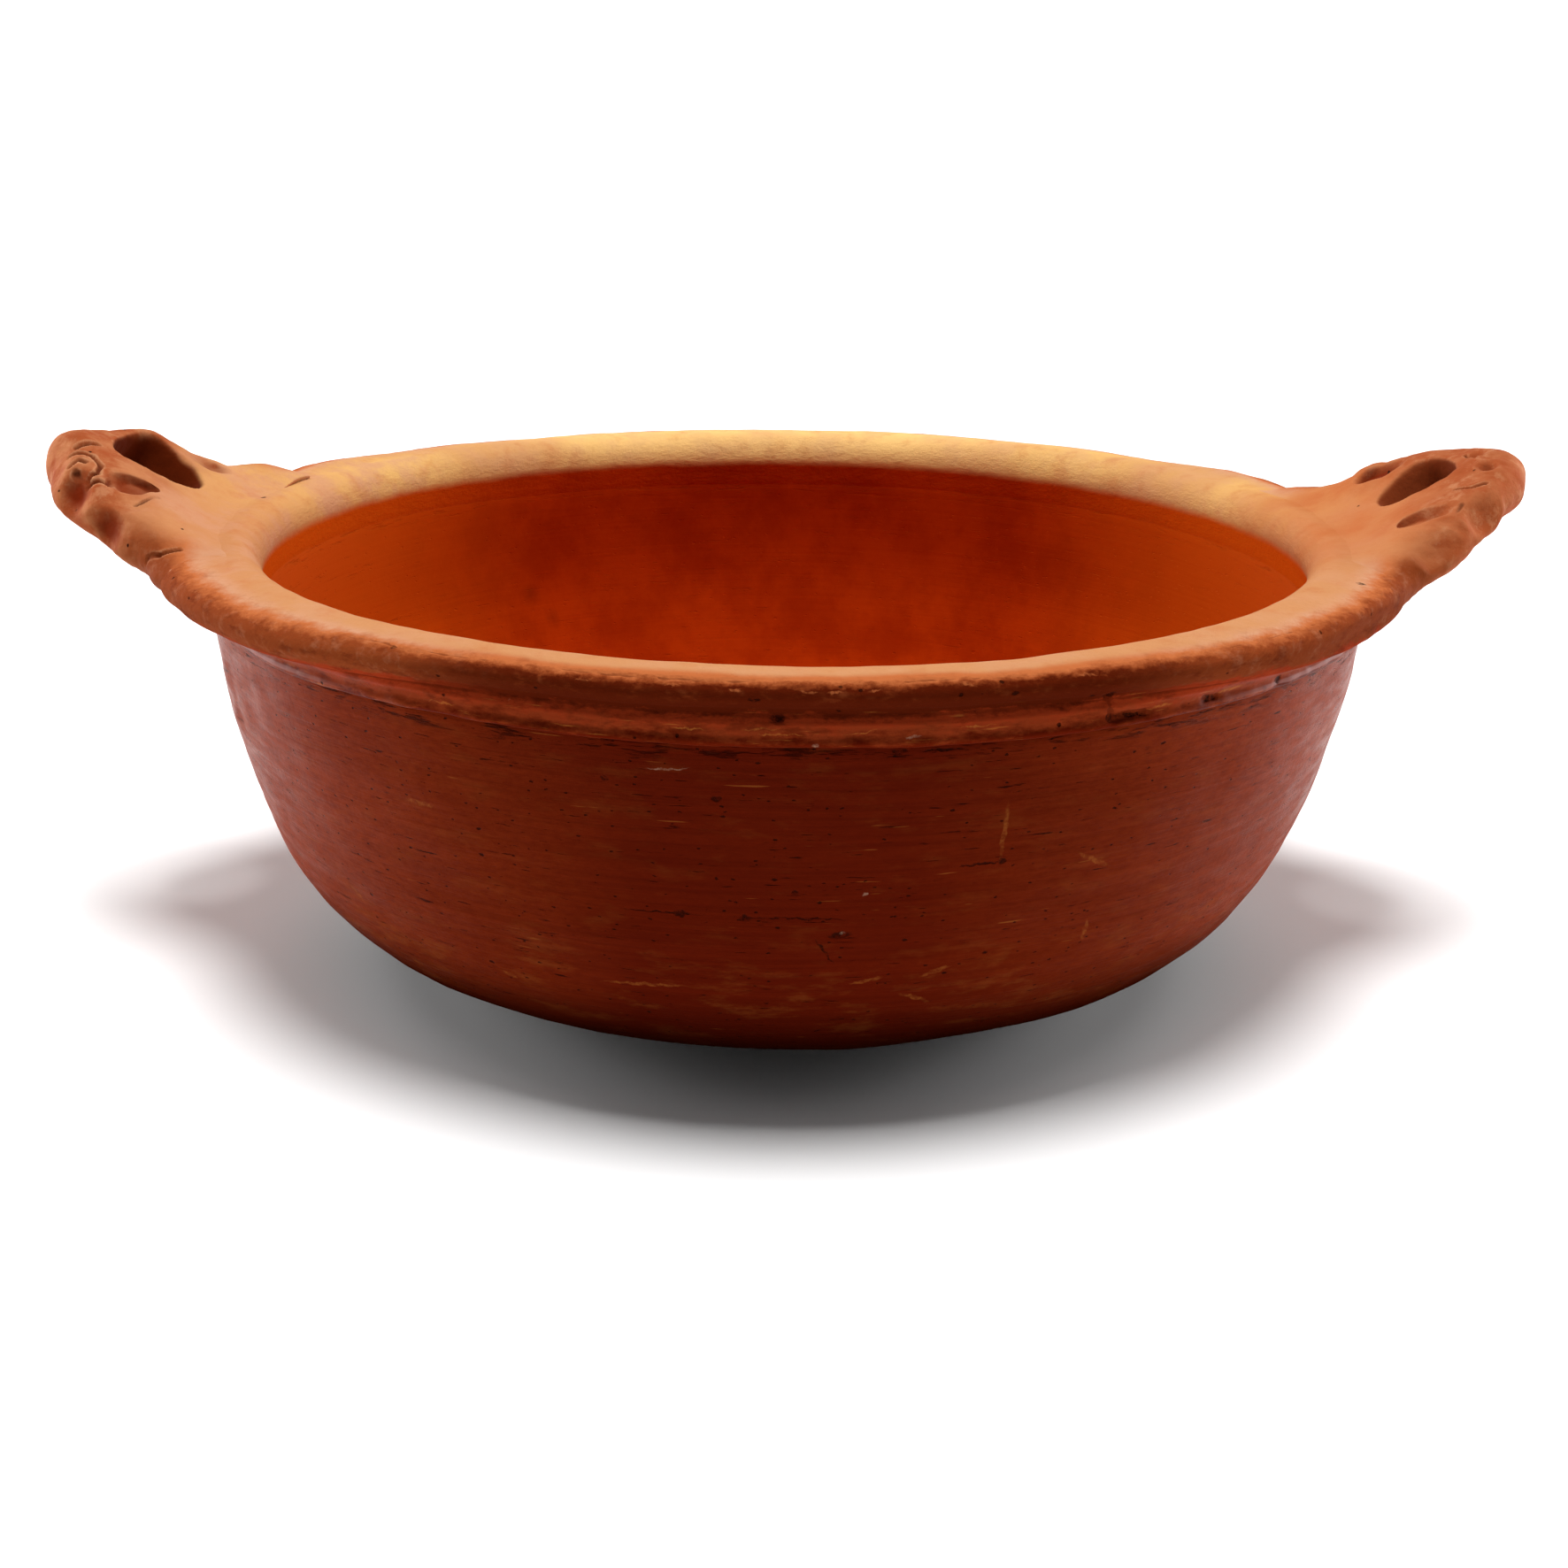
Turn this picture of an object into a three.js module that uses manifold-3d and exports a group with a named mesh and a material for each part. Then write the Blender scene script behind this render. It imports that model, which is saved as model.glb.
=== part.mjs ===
// Low, wide cooking bowl of burnished red clay, the open base of a tagine, with a flared rim and two lugs.
// Millimetres, +Z up. The origin is the centre of the flat foot, and the lugs lie on the X axis.
// The potter's own pieces are kept apart: the bowl, the coil luted on as its rim, and the two lug handles.

import * as THREE from 'three';
import { mergeVertices } from 'three/addons/utils/BufferGeometryUtils.js';
import Module from 'manifold-3d';

const wasm = await Module();
wasm.setup();

// Bowl: the flat foot, the rounded turn above it, and the seam where the rim begins
const footRadius = 52;
const turnReach = 48;
const turnHeight = 9;
const bellyInset = 9;
const bellyHeight = 6;
const seamRadius = 129.5;
const seamHeight = 86.5;
const wallThickness = 8;
const floorThickness = 8;
const floorBlendShare = 0.3;

// Joint between the bowl's thinned edge and the rim coil, measured from the seam
const shoulderWidth = 1.3;
const tongueHeight = 5;
const innerSeamDrop = 2.5;
const seamLead = 1;
const slipGap = 0.3;

// Rim coil, measured from the seam: the rounded mouth, the crest, the rolled nose and the ridge below it
const mouthOverhang = 3.5;
const mouthEdgeRise = 5.2;
const mouthRounding = 7;
const crestRise = 12.5;
const noseRadius = 4.1;
const noseStandout = 5.8;
const noseRise = 7.3;
const ridgeStandout = 1.7;
const ridgeRise = 1.3;
const collarDepth = 1.2;

// Lug handles: reach is measured from the lip, rise from the crest
const lugHalfAngle = THREE.MathUtils.degToRad(21.5);
const lugReach = 29.2;
const lugRise = 18.4;
const lugTipRadius = 6.6;
const lugRootRadius = 3.4;
const lugFullness = 0.95;
const lugSetback = 2.5;
const lugSkin = 0.8;
const lugTopSlope = THREE.MathUtils.degToRad(14);
const lugUnderSlope = THREE.MathUtils.degToRad(26);
const lugSag = 0.28;
const lugHump = 0.45;
const lugWrap = 0.7;

// Finger hole pierced through each lug, placed out from the lip and down from the lug's highest line
const holeOffset = 5;
const holeBelowTop = 8.2;
const holeLength = 18.5;
const holeWidth = 25;
const holeTaper = 0.78;
const holeLip = 1.6;
const holeTilt = THREE.MathUtils.degToRad(32);
const holeDepth = 26;

// Small dents pressed into the top on either side of the hole
const dentAngle = THREE.MathUtils.degToRad(9.4);
const dentInset = 2.2;
const dentLength = 10;
const dentWidth = 9;
const dentDepth = 4;

// Thumb presses along the upper outer edge of each lug
const thumbRadius = 9;
const thumbDepth = 2.2;
const thumbAngles = [-15, -10.6, 10.6, 15].map(THREE.MathUtils.degToRad);
const thumbSlope = THREE.MathUtils.degToRad(38);

// Facets
const turns = 60;
const wallSteps = 14;
const curveSteps = 4;
const noseSteps = 6;
const lugSections = 24;
const punchSides = 18;
const mergeTolerance = 1e-4;

// Places that follow from the sizes above
const mouthRadius = seamRadius - wallThickness - mouthOverhang;
const mouthEdgeHeight = seamHeight + mouthEdgeRise;
const crestRadius = mouthRadius + mouthRounding;
const crestHeight = seamHeight + crestRise;
const noseCentreRadius = seamRadius + noseStandout;
const noseCentreHeight = seamHeight + noseRise;
const lipRadius = noseCentreRadius + noseRadius;

const clays = {
  burnished: { color: 0x8a3218, roughness: 0.42 },
  rim: { color: 0xd08a58, roughness: 0.7 },
  lug: { color: 0xbd6b42, roughness: 0.82 },
};

function point(radius, height) {
  return new THREE.Vector2(radius, height);
}

// Merges shared corners, drops triangles of no area and turns the faces outwards.
function solidOf(geometry) {
  geometry.deleteAttribute('normal');
  geometry.deleteAttribute('uv');
  const merged = mergeVertices(geometry, mergeTolerance);
  const corners = merged.attributes.position.array;
  const kept = [];
  let volume = 0;
  for (let i = 0; i < merged.index.count; i += 3) {
    const [a, b, c] = [0, 1, 2].map((k) => merged.index.getX(i + k));
    if (a === b || b === c || c === a) {
      continue;
    }
    kept.push(a, b, c);
    const [p, q, r] = [a, b, c].map((n) => new THREE.Vector3().fromArray(corners, 3 * n));
    volume += p.dot(q.cross(r));
  }
  if (volume < 0) {
    kept.reverse();
  }
  const mesh = new wasm.Mesh({
    numProp: 3,
    vertProperties: new Float32Array(corners),
    triVerts: new Uint32Array(kept),
  });
  return new wasm.Manifold(mesh);
}

function geometryOf(solid) {
  const mesh = solid.getMesh();
  const geometry = new THREE.BufferGeometry();
  geometry.setAttribute('position', new THREE.BufferAttribute(mesh.vertProperties, 3));
  geometry.setIndex(new THREE.BufferAttribute(mesh.triVerts, 1));
  geometry.computeVertexNormals();
  return geometry;
}

// Turns a profile of (radius, height) points about the Z axis.
function revolve(profile) {
  const geometry = new THREE.LatheGeometry(profile, turns);
  geometry.rotateX(Math.PI / 2);
  return solidOf(geometry);
}

// The outside of the bowl, from the foot to the seam under the rim.
function wallCurve() {
  return new THREE.CubicBezierCurve(
    point(footRadius, 0),
    point(footRadius + turnReach, turnHeight),
    point(seamRadius - bellyInset, bellyHeight),
    point(seamRadius, seamHeight),
  );
}

// The inside of the bowl: the outside moved in by the wall, running into a shallow dished floor.
function insidePoints() {
  const wall = wallCurve();
  const points = [];
  for (let i = 0; i <= wallSteps; i += 1) {
    const share = floorBlendShare + ((1 - floorBlendShare) * i) / wallSteps;
    const along = wall.getTangent(share);
    const outer = wall.getPoint(share);
    points.push(point(outer.x - along.y * wallThickness, outer.y + along.x * wallThickness));
  }
  const start = points[0];
  const slope = wall.getTangent(floorBlendShare);
  const bend = start.x - ((start.y - floorThickness) * slope.x) / slope.y;
  const floor = new THREE.QuadraticBezierCurve(point(0, floorThickness), point(bend, floorThickness), start);
  const innerSeam = point(seamRadius - wallThickness, seamHeight - innerSeamDrop);
  const below = points.filter((p) => p.y < innerSeam.y - seamLead);
  return [...floor.getPoints(curveSteps).slice(0, -1), ...below, innerSeam];
}

// The wall's edge is thinned to a rounded tongue, and the rim coil straddles it with a gap of slip.
function tonguePoints(gap) {
  const outer = point(seamRadius - shoulderWidth + gap, seamHeight + gap);
  const inner = point(seamRadius - wallThickness + shoulderWidth - gap, seamHeight - innerSeamDrop + gap);
  const middle = point((outer.x + inner.x) / 2, seamHeight + 2 * (tongueHeight + gap));
  return new THREE.QuadraticBezierCurve(inner, middle, outer).getPoints(2 * curveSteps);
}

function bowlProfile() {
  return [
    ...insidePoints(),
    ...tonguePoints(0),
    ...wallCurve().getPoints(wallSteps).reverse(),
    point(0, 0),
  ];
}

// Top of the rim between the crest and the nose, raised by the gap that a lug keeps.
function flangeCurve(gap) {
  const crest = point(crestRadius, crestHeight + gap);
  const bend = point((crestRadius + noseCentreRadius) / 2, crestHeight + gap);
  return new THREE.QuadraticBezierCurve(crest, bend, point(noseCentreRadius, noseCentreHeight + noseRadius + gap));
}

// Outside of the rim from the crest over the rolled nose and the hollow collar to the sharp ridge.
function rimOutsidePoints(gap) {
  const nose = new THREE.EllipseCurve(
    noseCentreRadius,
    noseCentreHeight,
    noseRadius + gap,
    noseRadius + gap,
    Math.PI / 2,
    -Math.PI / 2,
    true,
  );
  const ridge = point(seamRadius + ridgeStandout + gap, seamHeight + ridgeRise - gap);
  const hollow = point(seamRadius + ridgeStandout - collarDepth + gap, noseCentreHeight - noseRadius);
  const collar = new THREE.QuadraticBezierCurve(nose.getPoint(1), hollow, ridge);
  return [
    ...flangeCurve(gap).getPoints(curveSteps),
    ...nose.getPoints(noseSteps).slice(1),
    ...collar.getPoints(curveSteps).slice(1),
  ];
}

function rimProfile() {
  const innerSeam = point(seamRadius - wallThickness, seamHeight - innerSeamDrop + slipGap);
  const neck = new THREE.QuadraticBezierCurve(
    innerSeam,
    point(mouthRadius, (innerSeam.y + mouthEdgeHeight) / 2),
    point(mouthRadius, mouthEdgeHeight),
  );
  const mouth = new THREE.EllipseCurve(
    crestRadius,
    mouthEdgeHeight,
    mouthRounding,
    crestHeight - mouthEdgeHeight,
    Math.PI,
    Math.PI / 2,
    true,
  );
  const underRidge = point(seamRadius + ridgeStandout / 2, seamHeight + slipGap);
  const profile = [
    ...neck.getPoints(curveSteps),
    ...mouth.getPoints(noseSteps).slice(1),
    ...rimOutsidePoints(0).slice(1),
    underRidge,
    ...tonguePoints(slipGap).reverse(),
  ];
  profile.push(profile[0].clone());
  return profile;
}

// The room that the rim takes away from a lug: its outside, grown by the gap, and filled inwards.
function rimRoom() {
  const outside = rimOutsidePoints(slipGap);
  const back = crestRadius - noseRadius;
  const profile = [point(back, outside[0].y), ...outside, point(back, outside.at(-1).y)];
  profile.push(profile[0].clone());
  return revolve(profile);
}

// How far a lug stands out at an angle from its middle: all of it in the middle, none at its ends.
function lugShare(angle) {
  return Math.cos((Math.PI / 2) * (angle / lugHalfAngle)) ** (2 * lugFullness);
}

// The rounded outer edge of the lug at an angle from its middle.
function lugTip(angle) {
  const out = lugShare(angle);
  const radius = THREE.MathUtils.lerp(lugRootRadius, lugTipRadius, Math.sqrt(out));
  return new THREE.EllipseCurve(
    THREE.MathUtils.lerp(noseCentreRadius, lipRadius + lugReach - lugTipRadius, out),
    THREE.MathUtils.lerp(noseCentreHeight, crestHeight + lugRise - lugTipRadius, out),
    radius,
    radius,
    Math.PI / 2 + lugTopSlope * out,
    lugUnderSlope - Math.PI / 2,
    true,
  );
}

// The top of the lug, sweeping up from the flange to the outer edge.
function lugTop(angle) {
  const out = lugShare(angle);
  const skin = lugSkin * (2 * Math.sqrt(out) - 1);
  const start = point(crestRadius + lugSetback, crestHeight + skin);
  const end = lugTip(angle).getPoint(0);
  const span = end.x - start.x;
  return new THREE.CubicBezierCurve(
    start,
    point(start.x + span * lugSag, start.y),
    point(end.x - span * lugHump, end.y - span * lugHump * Math.tan(lugTopSlope * out)),
    end,
  );
}

// One section of the lug in a plane through the Z axis.
function lugSection(angle) {
  return [
    ...lugTop(angle).getPoints(2 * curveSteps).slice(0, -1),
    ...lugTip(angle).getPoints(2 * noseSteps),
    point(noseCentreRadius, noseCentreHeight - lugWrap * noseRadius),
    point(crestRadius + lugSetback + noseRadius / 2, noseCentreHeight),
  ];
}

// Joins the sections, fanned about the Z axis, into one closed skin.
function lugBlank() {
  const corners = [];
  const faces = [];
  const ring = lugSection(0).length;
  for (let i = 0; i <= lugSections; i += 1) {
    const angle = ((2 * i) / lugSections - 1) * lugHalfAngle;
    for (const p of lugSection(angle)) {
      corners.push(p.x * Math.cos(angle), p.x * Math.sin(angle), p.y);
    }
  }
  for (let i = 0; i < lugSections; i += 1) {
    for (let k = 0; k < ring; k += 1) {
      const a = i * ring + k;
      const b = i * ring + ((k + 1) % ring);
      faces.push(a, b, b + ring, a, b + ring, a + ring);
    }
  }
  const last = lugSections * ring;
  for (let k = 1; k < ring - 1; k += 1) {
    faces.push(0, k + 1, k, last, last + k, last + k + 1);
  }
  const geometry = new THREE.BufferGeometry();
  geometry.setAttribute('position', new THREE.Float32BufferAttribute(corners, 3));
  geometry.setIndex(faces);
  return solidOf(geometry);
}

// The finger hole's punch: a tapered oval with a rounded mouth, leaning towards the bowl.
function holePunch() {
  const half = holeWidth / 2;
  const neck = half * holeTaper;
  const mouth = new THREE.QuadraticBezierCurve(
    point((neck + 3 * half) / 4, -2 * holeLip),
    point(half, 0),
    point(half + holeLip, holeLip),
  );
  const profile = [
    point(0, -holeDepth),
    point(neck, -holeDepth),
    ...mouth.getPoints(curveSteps),
    point(half + 3 * holeLip, holeDepth / 2),
    point(0, holeDepth / 2),
  ];
  const geometry = new THREE.LatheGeometry(profile, punchSides);
  geometry.rotateX(Math.PI / 2);
  geometry.scale(holeLength / holeWidth, 1, 1);
  geometry.rotateY(-holeTilt);
  geometry.translate(lipRadius + holeOffset, 0, crestHeight + lugRise - holeBelowTop);
  return solidOf(geometry);
}

function ball() {
  const geometry = new THREE.SphereGeometry(1, punchSides, punchSides / 2);
  geometry.rotateX(Math.PI / 2);
  return geometry;
}

// A dent's punch, sunk by its depth into the lug's top at an angle from the middle.
function dentPunch(angle) {
  const radius = lipRadius + holeOffset - dentInset;
  const top = lugTop(angle).getPoints(wallSteps);
  const after = top.findIndex((p) => p.x > radius);
  const [a, b] = [top[after - 1], top[after]];
  const height = THREE.MathUtils.mapLinear(radius, a.x, b.x, a.y, b.y);
  const geometry = ball();
  geometry.scale(dentLength / 2, dentWidth / 2, dentDepth);
  geometry.rotateY(-Math.atan2(b.y - a.y, b.x - a.x));
  geometry.translate(radius, 0, height);
  geometry.rotateZ(angle);
  return solidOf(geometry);
}

// A thumb's punch, sunk by its depth into the lug's outer edge at an angle from the middle.
function thumbPunch(angle) {
  const tip = lugTip(angle);
  const away = tip.xRadius + thumbRadius - thumbDepth;
  const geometry = ball();
  geometry.scale(thumbRadius, thumbRadius, thumbRadius);
  geometry.translate(tip.aX + away * Math.cos(thumbSlope), 0, tip.aY + away * Math.sin(thumbSlope));
  geometry.rotateZ(angle);
  return solidOf(geometry);
}

function lugSolid() {
  let lug = lugBlank().subtract(rimRoom()).subtract(holePunch());
  for (const side of [-1, 1]) {
    lug = lug.subtract(dentPunch(side * dentAngle));
  }
  for (const angle of thumbAngles) {
    lug = lug.subtract(thumbPunch(angle));
  }
  return lug;
}

function named(name, solid, clay) {
  const material = new THREE.MeshStandardMaterial({ ...clay, metalness: 0 });
  const mesh = new THREE.Mesh(geometryOf(solid), material);
  mesh.name = name;
  return mesh;
}

const tagine = new THREE.Group();
tagine.add(named('bowl_body', revolve(bowlProfile()), clays.burnished));
tagine.add(named('rim_coil', revolve(rimProfile()), clays.rim));

const lug = lugSolid();
const rightHandle = named('handle_right', lug, clays.lug);
const leftHandle = named('handle_left', lug, clays.lug);
leftHandle.rotation.z = Math.PI;
tagine.add(rightHandle, leftHandle);

export default tagine;
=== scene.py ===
"""Looks of a low, wide cooking bowl of burnished red clay with a luted rim and two pierced lug handles.

The meshes are in metres, with +Z up and the origin at the centre of the flat foot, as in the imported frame.
Places of marks are given as (degrees from +X, radius, height), the last two in millimetres.
"""

import math

import bmesh
import bpy
import numpy as np
from bpy.props import FloatProperty, FloatVectorProperty, IntProperty, PointerProperty
from mathutils import Matrix, Vector, geometry, noise


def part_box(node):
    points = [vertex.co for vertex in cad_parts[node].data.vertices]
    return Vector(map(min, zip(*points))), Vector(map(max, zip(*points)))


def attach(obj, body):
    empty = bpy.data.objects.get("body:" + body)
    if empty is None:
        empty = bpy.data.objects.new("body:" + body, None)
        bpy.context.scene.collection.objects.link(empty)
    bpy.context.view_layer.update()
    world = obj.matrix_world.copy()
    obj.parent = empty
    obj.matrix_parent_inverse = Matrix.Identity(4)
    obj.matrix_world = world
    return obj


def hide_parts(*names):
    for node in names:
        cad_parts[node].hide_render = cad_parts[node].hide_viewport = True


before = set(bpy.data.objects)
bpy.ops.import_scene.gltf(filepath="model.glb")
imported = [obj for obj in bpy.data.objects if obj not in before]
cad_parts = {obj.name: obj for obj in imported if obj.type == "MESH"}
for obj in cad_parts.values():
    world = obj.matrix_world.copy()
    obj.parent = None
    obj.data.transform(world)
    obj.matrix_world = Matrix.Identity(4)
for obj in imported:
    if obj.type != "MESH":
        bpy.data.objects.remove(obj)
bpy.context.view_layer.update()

bl_info = {
    "name": "Burnished Clay Bowl",
    "version": (1, 0, 0),
    "blender": (4, 5, 0),
    "location": "View3D > Sidebar > Clay Bowl",
    "description": "Models a hand-made cooking bowl of burnished clay around its packed frame",
    "category": "Object",
}

MM = 0.001
JOINT_GAP = 0.3 * MM
BOWL_LOW, BOWL_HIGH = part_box("bowl_body")
RIM_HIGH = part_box("rim_coil")[1]
LUG_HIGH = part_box("handle_right")[1]


def length(name, description, default):
    """A length, given in millimetres and kept in metres."""
    settings = {"unit": "LENGTH", "subtype": "DISTANCE"}
    return FloatProperty(name=name, description=description, default=default * MM, **settings)


def angle(name, description, degrees):
    """An angle, given in degrees and kept in radians."""
    return FloatProperty(name=name, description=description, default=math.radians(degrees), subtype="ANGLE")


def share(name, description, default):
    """A plain number with no unit."""
    return FloatProperty(name=name, description=description, default=default)


def count(name, description, default):
    """A whole number of steps."""
    return IntProperty(name=name, description=description, default=default, min=3)


def colour(name, description, default):
    """A linear colour."""
    settings = {"size": 3, "min": 0, "max": 1, "subtype": "COLOR"}
    return FloatVectorProperty(name=name, description=description, default=default, **settings)


class BowlSizes(bpy.types.PropertyGroup):
    foot_radius: length("Foot radius", "Radius of the flat foot", 52)
    turn_radius: length("Turn radius", "Where the rounded turn above the foot is pulled to", 100)
    turn_height: length("Turn height", "Height that the turn above the foot is pulled to", 9)
    belly_inset: length("Belly inset", "How far the belly is pulled in from the seam", 9)
    belly_height: length("Belly height", "Height that the belly is pulled to", 6)
    seam_radius: length("Seam radius", "Outer radius of the wall at its seam with the rim", BOWL_HIGH.x / MM)
    seam_height: length("Seam height", "Height of the seam under the rim", 86.5)
    wall: length("Wall", "Thickness of the wall", 8)
    floor: length("Floor", "Thickness of the floor in its middle", BOWL_LOW.z / MM + 8)
    tongue: length("Tongue", "How far the wall's edge reaches up into the rim", 2.5)
    floor_blend: share("Floor blend", "Share of the wall's curve where the dished floor begins", 0.3)
    neck_start: length("Neck start", "Height where the inside begins to draw in towards the mouth", 54)
    ring_depth: length("Ring depth", "Depth of the potter's turning rings", 0.16)
    lump_height: length("Lump height", "Height of the wall's soft lumps", 0.45)
    turns: count("Turns", "Steps around the bowl", 592)
    steps: count("Steps", "Steps up the outside wall", 84)


class RimSizes(bpy.types.PropertyGroup):
    mouth_radius: length("Mouth radius", "Radius of the mouth at its narrowest", 118)
    mouth_height: length("Mouth height", "Height where the mouth is narrowest", 91.7)
    crest_radius: length("Crest radius", "Radius of the rim's highest line", 125)
    crest_height: length("Crest height", "Height of the rim's highest line", RIM_HIGH.z / MM)
    nose_radius: length("Nose radius", "Radius of the rolled lip", 4.1)
    nose_height: length("Nose height", "Height of the rolled lip's middle", 93.8)
    lip_radius: length("Lip radius", "Outer radius of the rolled lip", RIM_HIGH.x / MM)
    ridge_radius: length("Ridge radius", "Radius of the sharp ridge under the lip", 131.2)
    ridge_height: length("Ridge height", "Height of the sharp ridge under the lip", 87.6)
    collar_depth: length("Collar depth", "How far the hollow collar draws in above the ridge", 1.2)
    lump_height: length("Lump height", "Height of the rim's soft lumps", 0.3)
    chip_depth: length("Chip depth", "Depth of the flaked edge on the lip", 0.5)
    turns: count("Turns", "Steps around the rim", 896)


class LugSizes(bpy.types.PropertyGroup):
    near_angle: angle("Near angle", "Half angle that the lug covers on the front side", 21.5)
    far_angle: angle("Far angle", "Half angle that the lug covers on the back side", 21.5)
    reach: length("Reach", "Radius of the lug's outermost point", LUG_HIGH.x / MM)
    top: length("Top", "Height of the lug's highest line", LUG_HIGH.z / MM)
    tip_radius: length("Tip radius", "Radius of the rounded outer edge in the middle", 6.6)
    root_radius: length("Root radius", "Radius of the rounded outer edge at the ends", 3.4)
    fullness: share("Fullness", "How square the lug's plan is", 0.95)
    top_slope: angle("Top slope", "Slope of the top where it meets the outer edge", 14)
    under_slope: angle("Under slope", "Slope of the underside where it leaves the outer edge", 26)
    sag: share("Sag", "Share of the top that stays low beside the rim", 0.26)
    hump: share("Hump", "Share of the top that stays high beside the outer edge", 0.45)
    hole_offset: length("Hole offset", "How far the finger hole lies outside the lip", 5)
    hole_shift: length("Hole shift", "How far the finger hole lies behind the lug's middle", 0.0)
    hole_drop: length("Hole drop", "How far the hole's middle lies below the lug's highest line", 8.2)
    hole_length: length("Hole length", "Size of the hole away from the bowl", 18.5)
    hole_width: length("Hole width", "Size of the hole along the rim", 25)
    hole_taper: share("Hole taper", "How far the hole narrows downwards", 0.78)
    hole_tilt: angle("Hole tilt", "Lean of the hole's top towards the bowl", 32)
    hole_egg: share("Hole egg", "How much wider the hole is at its outer end", 0.35)
    hole_squareness: share("Hole squareness", "2 makes the hole an oval, and more makes it blunter", 2.5)
    hole_lip: length("Hole lip", "Rounding of the hole's mouth", 1.0)
    lump_height: length("Lump height", "Height of the lug's lumps", 0.5)
    grain: length("Grain", "Size of the mesh on the lug's skin", 0.42)


class ClayColours(bpy.types.PropertyGroup):
    burnished: colour("Burnished", "Burnished wall", (0.113, 0.0087, 0.0016))
    burnished_dark: colour("Burnished dark", "Dark burnish lines on the wall", (0.088, 0.0062, 0.0013))
    # Painted light: the wall's colour is lighter towards its left and right sides, where the side lights
    # fall.
    burnished_painted_side_light: colour("Burnished light", "Lighter wall towards the lugs", (0.3, 0.04, 0.0075))
    ochre: colour("Ochre", "Ochre tinge and scratches", (0.5, 0.16, 0.03))
    inside: colour("Inside", "Matte inside of the bowl", (0.47, 0.04, 0.0017))
    inside_deep: colour("Inside deep", "Deeper patches inside the bowl", (0.35, 0.024, 0.001))
    # Painted light on the left and right walls of the inside.
    inside_painted_side_light: colour("Inside light", "Lighter orange at the sides of the inside", (0.6, 0.088, 0.0035))
    buff: colour("Buff", "Smoothed top of the rim", (0.53, 0.237, 0.098))
    buff_yellow: colour("Buff yellow", "Yellow patches on the rim's top", (0.7, 0.4, 0.135))
    # Painted light: the rim's far side is painted brighter to lift its shaded rounding.
    far_rim_painted_light: colour("Straw", "The rim's far side", (0.9, 0.55, 0.2))
    flush: colour("Flush", "Orange flush on the rim's top", (0.47, 0.13, 0.04))
    rosy: colour("Rosy", "Pinkish mottle on the rim's top and roll", (0.56, 0.275, 0.155))
    pink: colour("Pink", "Pinkish orange on the rim's outer edge", (0.23, 0.045, 0.0115))
    # Partly the rough skin's own dark colour and partly painted shade under the lip's roll.
    crust_and_painted_shade: colour("Crust", "Rough skin under the lip", (0.08, 0.0085, 0.0018))
    collar: colour("Collar", "Smooth collar under the lip", (0.3, 0.033, 0.008))
    ridge: colour("Ridge", "Light line of the ridge", (0.24, 0.034, 0.0085))
    lug: colour("Lug", "Rough clay of the lugs", (0.44, 0.155, 0.062))
    lug_dark: colour("Lug dark", "Dark patches of the lugs", (0.33, 0.072, 0.022))
    # Painted shade at the bottom of finger presses and in hollows.
    press: colour("Press", "Clay at the bottom of finger presses", (0.155, 0.0135, 0.002))
    # Painted highlight along the ridge at the bowl's sides.
    painted_ridge_highlight: colour("Sheen", "Polished edge of the ridge", (0.36, 0.17, 0.15))
    # Painted shade: the wall darkened towards the foot where it meets the floor.
    char: colour("Char", "Underside darkened by the fire", (0.015, 0.0014, 0.0004))
    # Painted shade inside the finger holes.
    bore: colour("Bore", "Inside of the finger holes", (0.1, 0.013, 0.0025))
    # Pale clay: random mottle on the lugs' outer faces, and a painted highlight on raised edges.
    worn: colour("Worn", "Edges that hands have rubbed", (0.55, 0.25, 0.12))
    soot: colour("Soot", "Bottom of pits and cracks", (0.02, 0.004, 0.002))
    speck: colour("Speck", "Pale specks", (0.7, 0.45, 0.3))


class StageSettings(bpy.types.PropertyGroup):
    camera_back: length("Camera back", "Distance of the camera in front of the bowl's axis", 496.2)
    camera_height: length("Camera height", "Height of the camera above the floor", 202)
    camera_side: length("Camera side", "Distance of the camera to the right of the axis", 0.78)
    camera_pitch: angle("Camera pitch", "How far the camera looks down", 18.62)
    camera_roll: angle("Camera roll", "Turn of the camera about its own line of sight", 0.8)
    lens: share("Lens", "Focal length of the lens in millimetres", 50)
    sky: share("Sky", "Strength of the light from all round", 0.012)
    key: share("Key", "Strength of the soft light above", 3.1)
    key_lean: angle("Key lean", "How far the light above leans towards the front", 8)
    wing: share("Wing", "Strength of the soft lights to the left and right of it", 0.6)
    wing_lean: angle("Wing lean", "How far those lights lean to the left and right", 36)
    fill: share("Fill", "Strength of the low soft light in front", 0.1)
    fill_lean: angle("Fill lean", "How far the light in front leans from straight above", 81)
    side: share("Side", "Power of the low soft light on each side, in watts", 10)
    exposure: share("Exposure", "Exposure of the picture, in stops", 0.0)


class ClayBowl(bpy.types.PropertyGroup):
    bowl: PointerProperty(type=BowlSizes)
    rim: PointerProperty(type=RimSizes)
    right_lug: PointerProperty(type=LugSizes)
    left_lug: PointerProperty(type=LugSizes)
    colours: PointerProperty(type=ClayColours)
    stage: PointerProperty(type=StageSettings)


# Curves in the plane of a section, as (radius, height) points

def bend(start, pull, end, steps):
    """A curve from start to end that is pulled towards one point."""
    first = [a + (b - a) * 2 / 3 for a, b in zip(start, pull)]
    second = [a + (b - a) * 2 / 3 for a, b in zip(end, pull)]
    return cubic(start, first, second, end, steps)


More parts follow.
